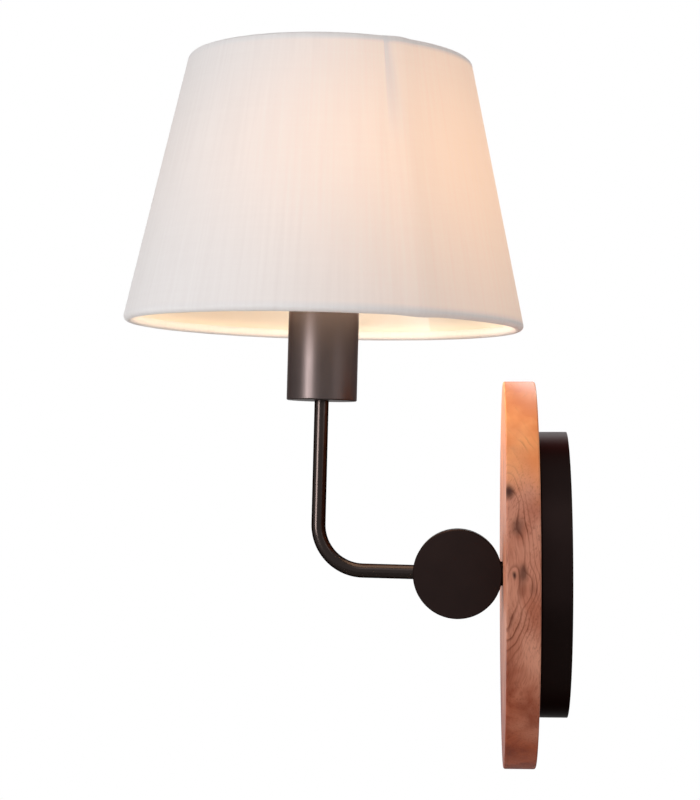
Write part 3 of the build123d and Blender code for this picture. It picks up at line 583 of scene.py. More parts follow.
@dataclass(frozen=True)
class StyreneSheet(Finish):
    """White translucent plastic sheet that stiffens the shade, bright from the bulb.

    The eye sees a smooth cream surface, a lapped joint up one side and a little grain of the sheet, with an
    even painted glow for the bulb's light on it.
    """

    name: str = "white_styrene_shade_liner"
    colour: str = "#EDE3D6"
    joint: str = "#F4EFE8"
    # Painted glow: an even emission that stands for the bulb's light on the sheet.
    glow: str = "#FFE6C6"
    painted_glow_strength: float = 0.1
    axis_y_mm: float = -133.8
    joint_deg: float = 149.0
    joint_width_deg: float = 13.0
    joint_edge_deg: float = 0.4
    grain_mm: float = 2.0
    grain: float = 0.05
    grain_depth_mm: float = 0.1

    def make(self) -> Material:
        """Makes the sheet with its lapped joint.

        Returns:
            The material.
        """
        material, tree, shader = self.begin()
        place = add_node(tree, "ShaderNodeTexCoord").outputs["Object"]
        side = add_node(tree, "ShaderNodeSeparateXYZ", {"Vector": place})
        out = add_node(
            tree, "ShaderNodeMath", {0: side.outputs["Y"], 1: -self.axis_y_mm * MM}, operation="ADD")
        angle = add_node(
            tree, "ShaderNodeMath", {0: out.outputs["Value"], 1: side.outputs["X"]}, operation="ARCTAN2")
        edge, end, soft = (
            math.radians(a)
            for a in (self.joint_deg, self.joint_deg + self.joint_width_deg, self.joint_edge_deg))
        begins = add_node(
            tree, "ShaderNodeMapRange",
            {"Value": angle.outputs["Value"], "From Min": edge - soft, "From Max": edge + soft})
        fades = add_node(
            tree, "ShaderNodeMapRange",
            {"Value": angle.outputs["Value"], "From Min": edge, "From Max": end, "To Min": 1.0,
             "To Max": 0.0}, interpolation_type="SMOOTHSTEP")
        lap = add_node(
            tree, "ShaderNodeMath", {0: begins.outputs["Result"], 1: fades.outputs["Result"]},
            operation="MULTIPLY")
        grain = add_node(
            tree, "ShaderNodeTexNoise", {"Vector": place, "Scale": per_metre(self.grain_mm), "Detail": 2.0})
        tone = add_node(
            tree, "ShaderNodeMix",
            {MIX_FACTOR: lap.outputs["Value"], MIX_A: linear(self.colour), MIX_B: linear(self.joint)},
            data_type="RGBA")
        bump = add_node(
            tree, "ShaderNodeBump",
            {"Height": grain.outputs["Fac"], "Strength": self.grain, "Distance": self.grain_depth_mm * MM})
        plug(tree, shader, {
            "Base Color": tone.outputs[MIX_RESULT], "Roughness": 0.5, "Emission Color": linear(self.glow),
            "Emission Strength": self.painted_glow_strength, "Normal": bump.outputs["Normal"]})
        return material


@dataclass(frozen=True)
class OpalGlass(Finish):
    """Milky blown glass round a warm light source.

    The eye sees an even bright globe, a little dimmer at its neck, with faint clouds in its milky glass.
    """

    name: str = "lit_opal_glass"
    colour: str = "#F6F1E8"
    cloudy: str = "#ECE5D8"
    glow: str = "#FFEFD6"
    neck_z_mm: float = 165.0
    globe_z_mm: float = 200.0
    strength: float = 4.7
    neck_share: float = 0.35
    cloud_mm: float = 14.0
    roughness: tuple[float, float] = (0.18, 0.28)

    def make(self) -> Material:
        """Makes the lit glass.

        Returns:
            The material.
        """
        material, tree, shader = self.begin()
        place = add_node(tree, "ShaderNodeTexCoord").outputs["Object"]
        height = add_node(tree, "ShaderNodeSeparateXYZ", {"Vector": place})
        light = add_node(
            tree, "ShaderNodeMapRange",
            {"Value": height.outputs["Z"], "From Min": self.neck_z_mm * MM, "From Max": self.globe_z_mm * MM,
             "To Min": self.strength * self.neck_share, "To Max": self.strength},
            interpolation_type="SMOOTHSTEP")
        cloud = add_node(
            tree, "ShaderNodeTexNoise",
            {"Vector": place, "Scale": per_metre(self.cloud_mm), "Detail": 3.0}).outputs["Fac"]
        milk = add_node(
            tree, "ShaderNodeMix",
            {MIX_FACTOR: cloud, MIX_A: linear(self.colour), MIX_B: linear(self.cloudy)}, data_type="RGBA")
        clear, dull = self.roughness
        sheen = add_node(tree, "ShaderNodeMapRange", {"Value": cloud, "To Min": clear, "To Max": dull})
        plug(tree, shader, {
            "Base Color": milk.outputs[MIX_RESULT], "Roughness": sheen.outputs["Result"], "IOR": 1.5,
            "Coat Weight": 0.5, "Emission Color": linear(self.glow),
            "Emission Strength": light.outputs["Result"]})
        return material


@dataclass(frozen=True)
class PlatedMetal(Finish):
    """Small metal parts as they come from the press or the lathe, plated or bare.

    The eye sees a bright metal with cloudy patches and fine working marks.
    """

    name: str
    colour: str
    cloudy: str
    roughness: float
    cloud_mm: float = 4.0
    smoother: float = 0.08
    rougher: float = 0.1
    mark_mm: float = 0.5
    mark: float = 0.08
    mark_depth_mm: float = 0.05

    def make(self) -> Material:
        """Makes the plated metal.

        Returns:
            The material.
        """
        material, tree, shader = self.begin()
        place = add_node(tree, "ShaderNodeTexCoord").outputs["Object"]
        cloud, mark = (
            add_node(
                tree, "ShaderNodeTexNoise",
                {"Vector": place, "Scale": per_metre(size), "Detail": detail}).outputs["Fac"]
            for size, detail in ((self.cloud_mm, 3.0), (self.mark_mm, 1.0)))
        tone = add_node(
            tree, "ShaderNodeMix",
            {MIX_FACTOR: cloud, MIX_A: linear(self.colour), MIX_B: linear(self.cloudy)}, data_type="RGBA")
        rough = add_node(
            tree, "ShaderNodeMapRange",
            {"Value": cloud, "To Min": self.roughness - self.smoother,
             "To Max": self.roughness + self.rougher})
        bump = add_node(
            tree, "ShaderNodeBump",
            {"Height": mark, "Strength": self.mark, "Distance": self.mark_depth_mm * MM})
        plug(tree, shader, {
            "Base Color": tone.outputs[MIX_RESULT], "Metallic": 1.0, "Roughness": rough.outputs["Result"],
            "Normal": bump.outputs["Normal"]})
        return material


@dataclass(frozen=True)
class MouldedPlastic(Finish):
    """Moulded parts and thick enamel: an even tone, a fine moulded texture and a soft gloss."""

    name: str
    colour: str
    cloudy: str
    roughness: float
    grain_mm: float = 0.6
    grain: float = 0.1
    grain_depth_mm: float = 0.05
    smoother: float = 0.06
    rougher: float = 0.08
    cloud_grains: float = 20.0

    def make(self) -> Material:
        """Makes the moulded surface.

        Returns:
            The material.
        """
        material, tree, shader = self.begin()
        place = add_node(tree, "ShaderNodeTexCoord").outputs["Object"]
        grain, cloud = (
            add_node(
                tree, "ShaderNodeTexNoise",
                {"Vector": place, "Scale": per_metre(size), "Detail": detail}).outputs["Fac"]
            for size, detail in ((self.grain_mm, 2.0), (self.cloud_grains * self.grain_mm, 3.0)))
        tone = add_node(
            tree, "ShaderNodeMix",
            {MIX_FACTOR: cloud, MIX_A: linear(self.colour), MIX_B: linear(self.cloudy)}, data_type="RGBA")
        rough = add_node(
            tree, "ShaderNodeMapRange",
            {"Value": grain, "To Min": self.roughness - self.smoother,
             "To Max": self.roughness + self.rougher})
        bump = add_node(
            tree, "ShaderNodeBump",
            {"Height": grain, "Strength": self.grain, "Distance": self.grain_depth_mm * MM})
        plug(tree, shader, {
            "Base Color": tone.outputs[MIX_RESULT], "Roughness": rough.outputs["Result"], "IOR": 1.5,
            "Normal": bump.outputs["Normal"]})
        return material


@dataclass(frozen=True)
class LeadSleeve(Finish):
    """Soft sleeve of the two leads: brown on the +X side, blue on the other, with a rubbed satin surface."""

    name: str = "brown_and_blue_lead_sleeve"
    brown: str = "#6A4029"
    blue: str = "#2D6AA0"
    grain_mm: float = 0.5
    roughness: tuple[float, float] = (0.4, 0.6)

    def make(self) -> Material:
        """Makes the sleeve, its colour by side.

        Returns:
            The material.
        """
        material, tree, shader = self.begin()
        place = add_node(tree, "ShaderNodeTexCoord").outputs["Object"]
        side = add_node(tree, "ShaderNodeSeparateXYZ", {"Vector": place})
        which = add_node(tree, "ShaderNodeMath", {0: side.outputs["X"], 1: 0.0}, operation="GREATER_THAN")
        tone = add_node(
            tree, "ShaderNodeMix",
            {MIX_FACTOR: which.outputs["Value"], MIX_A: linear(self.blue), MIX_B: linear(self.brown)},
            data_type="RGBA")
        grain = add_node(
            tree, "ShaderNodeTexNoise", {"Vector": place, "Scale": per_metre(self.grain_mm), "Detail": 2.0})
        rubbed, dull = self.roughness
        rough = add_node(
            tree, "ShaderNodeMapRange", {"Value": grain.outputs["Fac"], "To Min": rubbed, "To Max": dull})
        plug(tree, shader, {"Base Color": tone.outputs[MIX_RESULT], "Roughness": rough.outputs["Result"]})
        return material


@dataclass
class Finishes:
    """Every finish of the lamp, made once."""

    bronze: Material = field(default_factory=BronzedSteel().make)
    tube_bronze: Material = field(default_factory=BronzedSteel(
        "bronzed_steel_polished_tube", "#2C2624", "#322B29", "#4A4240", 0.2, peel=0.01).make)
    cup_bronze: Material = field(default_factory=BronzedSteel(
        "bronzed_steel_drawn_cup", "#413938", "#494140", "#B4B0B0", 0.33, streak=0.12).make)
    canopy_bronze: Material = field(default_factory=BronzedSteel(
        "bronzed_steel_spun_canopy", "#1A1312", "#221918", "#B0AFAF", 0.34, streak=0.04).make)
    wood: Material = field(default_factory=OiledWood().make)
    cotton: Material = field(default_factory=WovenCotton().make)
    liner: Material = field(default_factory=StyreneSheet().make)
    opal: Material = field(default_factory=OpalGlass().make)
    zinc: Material = field(default_factory=PlatedMetal(
        "zinc_plated_steel", "#AEB2B6", "#C3C3BE", 0.36).make)
    brass: Material = field(default_factory=PlatedMetal("turned_brass", "#C29B52", "#A97F3E", 0.3).make)
    aluminium: Material = field(default_factory=PlatedMetal(
        "pressed_aluminium_cap", "#D2D2D1", "#BDBDBC", 0.27, cloud_mm=7.0).make)
    white: Material = field(default_factory=MouldedPlastic(
        "white_moulded_polyester", "#E9E5DD", "#E2DDD3", 0.42).make)
    black_glass: Material = field(default_factory=MouldedPlastic(
        "black_cap_glass", "#19181A", "#201E20", 0.15, grain_mm=0.8).make)
    fibre: Material = field(default_factory=MouldedPlastic(
        "dark_pressed_fibre", "#40312B", "#352823", 0.7, grain_mm=0.3).make)
    enamel: Material = field(default_factory=MouldedPlastic(
        "white_enamelled_wire", "#E6E3DC", "#DDD9D0", 0.36).make)
    sleeve: Material = field(default_factory=LeadSleeve().make)


def dress(nodes: Nodes, material: Material, *names: str) -> None:
    """Gives CAD nodes their finish, in their objects' own slots.

    Args:
        nodes: The frame's CAD nodes by name.
        material: The finish.
        *names: The nodes that get it.
    """
    for name in names:
        slot = nodes[name].material_slots[0]
        slot.link = "OBJECT"
        slot.material = material
        LOG.info("CAD node %s: %s", name, material.name)


def place_piece(
    piece: bpy.types.Object, body: Body, replaces: Sequence[str] = ()
) -> bpy.types.Object:
    """Hands a finished piece to its body.

    Args:
        piece: The piece, in place, its object at the origin.
        body: The body that it rides on.
        replaces: The CAD nodes that it stands for.

    Returns:
        The same piece.
    """
    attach(piece, body.value)
    if replaces:
        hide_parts(*replaces)
    LOG.info("piece %s: %d faces on %s", piece.name, len(piece.data.polygons), body.value)
    return piece


def keep_result(piece: bpy.types.Object, modifier: bpy.types.Modifier) -> None:
    """Turns a piece with one modifier into a plain mesh.

    Args:
        piece: The piece.
        modifier: Its modifier, which is removed.
    """
    graph = bpy.context.evaluated_depsgraph_get()
    made = bpy.data.meshes.new_from_object(
        piece.evaluated_get(graph), preserve_all_data_layers=True, depsgraph=graph)
    piece.modifiers.remove(modifier)
    old = piece.data
    piece.data = made
    bpy.data.meshes.remove(old)
    made.name = piece.name


def new_tree(name: str, inputs: Mapping[str, str]) -> tuple[Tree, bpy.types.Node]:
    """Starts a geometry tree with named inputs and one geometry output.

    Args:
        name: The tree's name.
        inputs: Socket types by input name.

    Returns:
        The tree and its input node.
    """
    tree = bpy.data.node_groups.new(name, "GeometryNodeTree")
    for label, kind in inputs.items():
        tree.interface.new_socket(label, in_out="INPUT", socket_type=kind)
    tree.interface.new_socket("Geometry", in_out="OUTPUT", socket_type="NodeSocketGeometry")
    return tree, tree.nodes.new("NodeGroupInput")


def close_tree(tree: Tree, made: Socket, material: Socket) -> None:
    """Ends a geometry tree: real meshes, smooth shading and the finish.

    Args:
        tree: The tree.
        made: The geometry that it has made.
        material: The finish's input.
    """
    real = add_node(tree, "GeometryNodeRealizeInstances", {"Geometry": made})
    smooth = add_node(tree, "GeometryNodeSetShadeSmooth", {"Geometry": real.outputs["Geometry"]})
    coated = add_node(
        tree, "GeometryNodeSetMaterial", {"Geometry": smooth.outputs["Geometry"], "Material": material})
    add_node(tree, "NodeGroupOutput", {"Geometry": coated.outputs["Geometry"]})


def grown(name: str, tree: Tree, inputs: Mapping[str, object], place: Matrix) -> bpy.types.Object:
    """Runs a geometry tree and keeps its result as a plain mesh.

    Args:
        name: The piece's name.
        tree: The geometry tree.
        inputs: Values by input name.
        place: Where the result goes in the row frame.

    Returns:
        The piece, at the origin, with its place in its mesh.
    """
    piece = bpy.data.objects.new(name, bpy.data.meshes.new(name))
    bpy.context.scene.collection.objects.link(piece)
    modifier = piece.modifiers.new(tree.name, "NODES")
    modifier.node_group = tree
    sockets = {i.name: i.identifier for i in tree.interface.items_tree if i.in_out == "INPUT"}
    for label, value in inputs.items():
        modifier[sockets[label]] = value
    keep_result(piece, modifier)
    piece.data.transform(place)
    return piece


def thread_tree() -> Tree:
    """Makes the tree of a rolled thread: a round bead along a helix.

    Returns:
        The tree.
    """
    tree, given = new_tree("rolled_thread", {
        "Radius": "NodeSocketFloat", "Pitch": "NodeSocketFloat", "Turns": "NodeSocketFloat",
        "Bead": "NodeSocketFloat", "Material": "NodeSocketMaterial"})
    size = given.outputs
    rise = add_node(tree, "ShaderNodeMath", {0: size["Pitch"], 1: size["Turns"]}, operation="MULTIPLY")
    helix = add_node(tree, "GeometryNodeCurveSpiral", {
        "Resolution": THREAD_STEPS, "Rotations": size["Turns"], "Start Radius": size["Radius"],
        "End Radius": size["Radius"], "Height": rise.outputs["Value"]})
    section = add_node(
        tree, "GeometryNodeCurvePrimitiveCircle", {"Resolution": BEAD_SIDES, "Radius": size["Bead"]})
    bead = add_node(tree, "GeometryNodeCurveToMesh", {
        "Curve": helix.outputs["Curve"], "Profile Curve": section.outputs["Curve"], "Fill Caps": True})
    close_tree(tree, bead.outputs["Mesh"], size["Material"])
    return tree


def rib_tree() -> Tree:
    """Makes the tree of grip ribs: upright round ribs, evenly round a circle.

    Returns:
        The tree.
    """
    tree, given = new_tree("grip_ribs", {
        "Count": "NodeSocketInt", "Circle Radius": "NodeSocketFloat", "Rib Radius": "NodeSocketFloat",
        "Rib Height": "NodeSocketFloat", "Material": "NodeSocketMaterial"})
    size = given.outputs
    ring = add_node(
        tree, "GeometryNodeMeshCircle", {"Vertices": size["Count"], "Radius": size["Circle Radius"]})
    rib = add_node(tree, "GeometryNodeMeshCylinder", {
        "Vertices": RIB_SIDES, "Radius": size["Rib Radius"], "Depth": size["Rib Height"]})
    ribs = add_node(tree, "GeometryNodeInstanceOnPoints", {
        "Points": ring.outputs["Mesh"], "Instance": rib.outputs["Mesh"]})
    close_tree(tree, ribs.outputs["Instances"], size["Material"])
    return tree


def screw_tree() -> Tree:
    """Makes the tree of cross-recessed screws, heads up, evenly round a circle.

    Returns:
        The tree.
    """
    tree, given = new_tree("cross_recessed_screws", {
        "Count": "NodeSocketInt", "Circle Radius": "NodeSocketFloat", "Head Radius": "NodeSocketFloat",
        "Head Height": "NodeSocketFloat", "Shank Radius": "NodeSocketFloat",
        "Shank Length": "NodeSocketFloat", "Recess Length": "NodeSocketFloat",
        "Recess Width": "NodeSocketFloat", "Material": "NodeSocketMaterial"})
    size = given.outputs
    rods = []
    # The head stands on the plane of its seat, and the shank hangs below it.
    for part, length, sides, side in (
            ("Head", "Head Height", SCREW_HEAD_SIDES, 0.5),
            ("Shank", "Shank Length", SCREW_SHANK_SIDES, -0.5)):
        rod = add_node(tree, "GeometryNodeMeshCylinder", {
            "Vertices": sides, "Radius": size[part + " Radius"], "Depth": size[length]})
        half = add_node(tree, "ShaderNodeMath", {0: size[length], 1: side}, operation="MULTIPLY")
        shift = add_node(tree, "ShaderNodeCombineXYZ", {"Z": half.outputs["Value"]})
        rods.append(add_node(tree, "GeometryNodeTransform", {
            "Geometry": rod.outputs["Mesh"], "Translation": shift.outputs["Vector"]}))
    driven, shank = (rod.outputs["Geometry"] for rod in rods)
    top = add_node(tree, "ShaderNodeCombineXYZ", {"Z": size["Head Height"]})
    for along, wide in (("X", "Y"), ("Y", "X")):
        block = add_node(tree, "ShaderNodeCombineXYZ", {
            along: size["Recess Length"], wide: size["Recess Width"], "Z": size["Head Height"]})
        bar = add_node(tree, "GeometryNodeMeshCube", {"Size": block.outputs["Vector"]})
        cutter = add_node(tree, "GeometryNodeTransform", {
            "Geometry": bar.outputs["Mesh"], "Translation": top.outputs["Vector"]})
        driven = add_node(
            tree, "GeometryNodeMeshBoolean", {"Mesh 1": driven, "Mesh 2": cutter.outputs["Geometry"]},
            operation="DIFFERENCE").outputs["Mesh"]
    screw = add_node(tree, "GeometryNodeJoinGeometry")
    for part in (driven, shank):
        tree.links.new(part, screw.inputs["Geometry"])
    ring = add_node(
        tree, "GeometryNodeMeshCircle", {"Vertices": size["Count"], "Radius": size["Circle Radius"]})
    screws = add_node(tree, "GeometryNodeInstanceOnPoints", {
        "Points": ring.outputs["Mesh"], "Instance": screw.outputs["Geometry"]})
    close_tree(tree, screws.outputs["Instances"], size["Material"])
    return tree


@dataclass(frozen=True)
class ArmRest:
    """How the arm stands in the photograph: turned about the pivot, a little towards the wall."""

    pivot_mm: tuple[float, float, float] = (0.0, -60.15, 0.0)
    lean_deg: float = 1.3
    axis_y_mm: float = -138.65

    def matrix(self) -> Matrix:
        """Gives the turn from the upright arm to its place at rest."""
        pivot = Matrix.Translation(Vector(self.pivot_mm) * MM)
        return pivot @ Matrix.Rotation(math.radians(-self.lean_deg), 4, "X") @ pivot.inverted()

    def on_axis(self, height_mm: float) -> Matrix:
        """Gives the place of a piece made about the arm's axis, so far above the pivot when upright."""
        return self.matrix() @ Matrix.Translation(Vector((0.0, self.axis_y_mm, height_mm)) * MM)


@dataclass
class BackPlate:
    """Canopy, wooden plate, wall bracket and what they hold."""

    screw_count: int = 3
    screw_circle_mm: float = 110.0
    screw_head_mm: tuple[float, float] = (7.0, 2.4)
    screw_shank_mm: tuple[float, float] = (3.5, 12.2)
    recess_mm: tuple[float, float] = (4.2, 1.0)
    head_edge_mm: float = 0.5
    head_edge_steps: int = 3
    canopy_floor_mm: float = 16.3

    def build(self, finishes: Finishes) -> None:
        """Makes the wood screws, whose recessed heads show from behind.

        Args:
            finishes: The lamp's finishes.
        """
        # Local Z turns to +Y, so that the heads face the wall, and local X to -Z, where the first screw is.
        turn = Matrix(((0, -1, 0), (0, 0, 1), (-1, 0, 0))).to_4x4()
        place = Matrix.Translation((0, -self.canopy_floor_mm * MM, 0)) @ turn
        head_d, head_h = self.screw_head_mm
        shank_d, shank_l = self.screw_shank_mm
        long, wide = self.recess_mm
        screws = grown("wood_screw_set", screw_tree(), {
            "Count": self.screw_count, "Circle Radius": self.screw_circle_mm / 2 * MM,
            "Head Radius": head_d / 2 * MM, "Head Height": head_h * MM, "Shank Radius": shank_d / 2 * MM,
            "Shank Length": shank_l * MM, "Recess Length": long * MM, "Recess Width": wide * MM,
            "Material": finishes.zinc}, place)
        soften = screws.modifiers.new("soft_edges", "BEVEL")
        soften.width = self.head_edge_mm * MM
        soften.segments = self.head_edge_steps
        soften.limit_method = "ANGLE"
        soften.use_clamp_overlap = True
        place_piece(screws, Body.WALL, ["wood_screws"])

    def dress(self, nodes: Nodes, finishes: Finishes) -> None:
        """Gives the CAD pieces at the wall their finishes.

        Args:
            nodes: The frame's CAD nodes by name.
            finishes: The lamp's finishes.
        """
        dress(nodes, finishes.canopy_bronze, "canopy")
        dress(nodes, finishes.bronze, "canopy_grub_screws", "spacer_sleeve")
        dress(nodes, finishes.wood, "wood_disc")
        dress(nodes, finishes.zinc, "wall_bracket", "earth_screw", "terminal_block_screw", "nipple",
              "nipple_washer", "nipple_nut")
        dress(nodes, finishes.brass, "terminal_screws")
        dress(nodes, finishes.white, "terminal_block", "nipple_bush")
        dress(nodes, finishes.sleeve, "wall_leads")


@dataclass
class Knuckle:
    """The friction joint in the drum, and the leads that bend through it."""

    lead_start_mm: tuple[float, float, float] = (0.0, -76.3, 0.0)
    lead_end_mm: tuple[float, float, float] = (0.0, -49.6, 0.0)
    merge_mm: float = 0.005

    def build(self, nodes: Nodes, finishes: Finishes) -> None:
        """Makes the lead loops that bend from the arm's tube to the fixed nipple.

        Args:
            nodes: The frame's CAD nodes by name.
            finishes: The lamp's finishes.
        """
        mesh = bpy.data.meshes.new("bending_leads")
        loops = bmesh.new()
        loops.from_mesh(nodes["knuckle_leads"].data)
        bmesh.ops.remove_doubles(loops, verts=loops.verts, dist=self.merge_mm * MM)
        loops.to_mesh(mesh)
        loops.free()
        mesh.materials.append(finishes.sleeve)
        leads = bpy.data.objects.new("bending_leads", mesh)
        bpy.context.scene.collection.objects.link(leads)
        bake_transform(leads)
        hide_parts("knuckle_leads")
        LOG.info("piece %s bends between the arm and the wall side", leads.name)

    def dress(self, nodes: Nodes, finishes: Finishes) -> None:
        """Gives the knuckle's CAD pieces their finishes.

        Args:
            nodes: The frame's CAD nodes by name.
            finishes: The lamp's finishes.
        """
        dress(nodes, finishes.bronze, "knuckle_drum", "knuckle_cap", "pivot_bolt")
        dress(nodes, finishes.zinc, "knuckle_yoke", "spring_washer", "tube_locknut")
        dress(nodes, finishes.fibre, "friction_washer")


@dataclass
class Lampholder:
    """Arm tube, cup and lampholder, with the two rings that clamp the shade."""

    ring_d_mm: float = 50.0
    ring_h_mm: float = 3.5
    ring_z_mm: tuple[float, float] = (156.0, 161.0)
    rib_count: int = 48
    rib_d_mm: float = 1.6
    rib_inset_mm: float = 0.3
    rib_share: float = 0.94
    collar_d_mm: float = 38.0
    collar_thread_z_mm: float = 165.4
    collar_pitch_mm: float = 1.5
    collar_turns: float = 1.3
    collar_bead_mm: float = 0.45
    collar_inset_mm: float = 0.1

    def build(self, rest: ArmRest, threads: Tree, finishes: Finishes) -> None:
        """Makes the rings' grip ribs and the end of the collar's thread.

        Args:
            rest: The arm's place.
            threads: The tree of rolled threads.
            finishes: The lamp's finishes.
        """
        ribs = rib_tree()
        for name, bottom in zip(("lower_ring_ribs", "upper_ring_ribs"), self.ring_z_mm):
            piece = grown(name, ribs, {
                "Count": self.rib_count, "Circle Radius": (self.ring_d_mm / 2 - self.rib_inset_mm) * MM,
                "Rib Radius": self.rib_d_mm / 2 * MM, "Rib Height": self.ring_h_mm * self.rib_share * MM,
                "Material": finishes.white}, rest.on_axis(bottom + self.ring_h_mm / 2))
            place_piece(piece, Body.ARM)
        collar = grown("collar_thread", threads, {
            "Radius": (self.collar_d_mm / 2 - self.collar_inset_mm) * MM, "Pitch": self.collar_pitch_mm * MM,
            "Turns": self.collar_turns, "Bead": self.collar_bead_mm * MM, "Material": finishes.white},
            rest.on_axis(self.collar_thread_z_mm))
        place_piece(collar, Body.ARM)

    def dress(self, nodes: Nodes, finishes: Finishes) -> None:
        """Gives the tube, the cup and the lampholder's CAD pieces their finishes.

        Args:
            nodes: The frame's CAD nodes by name.
            finishes: The lamp's finishes.
        """
        dress(nodes, finishes.tube_bronze, "arm_tube")
        dress(nodes, finishes.cup_bronze, "lampholder_cup")
        dress(nodes, finishes.zinc, "lampholder_nut")
        dress(nodes, finishes.white, "lampholder_base", "lampholder_insert", "lampholder_skirt",
              "lower_shade_ring", "upper_shade_ring")
        dress(nodes, finishes.brass, "centre_contact", "thread_shell")
        dress(nodes, finishes.sleeve, "arm_leads")


@dataclass
class Bulb:
    """Opal bulb with a rolled screw cap."""

    cap_d_mm: float = 26.2
    thread_z_mm: float = 144.0
    pitch_mm: float = 3.62
    turns: float = 3.6
    bead_mm: float = 0.9
    bead_out_mm: float = 0.25

    def build(self, rest: ArmRest, threads: Tree, finishes: Finishes) -> None:
        """Makes the cap's rolled thread.

        Args:
            rest: The arm's place.
            threads: The tree of rolled threads.
            finishes: The lamp's finishes.
        """
        cap = grown("bulb_cap_thread", threads, {
            "Radius": (self.cap_d_mm / 2 - self.bead_mm + self.bead_out_mm) * MM,
            "Pitch": self.pitch_mm * MM, "Turns": self.turns, "Bead": self.bead_mm * MM,
            "Material": finishes.aluminium}, rest.on_axis(self.thread_z_mm))
        place_piece(cap, Body.ARM)

    def dress(self, nodes: Nodes, finishes: Finishes) -> None:
        """Gives the bulb's CAD pieces their finishes.

        Args:
            nodes: The frame's CAD nodes by name.
            finishes: The lamp's finishes.
        """
        dress(nodes, finishes.opal, "bulb_glass")
        dress(nodes, finishes.aluminium, "bulb_cap")
        dress(nodes, finishes.black_glass, "bulb_insulator")
        dress(nodes, finishes.brass, "bulb_contact")


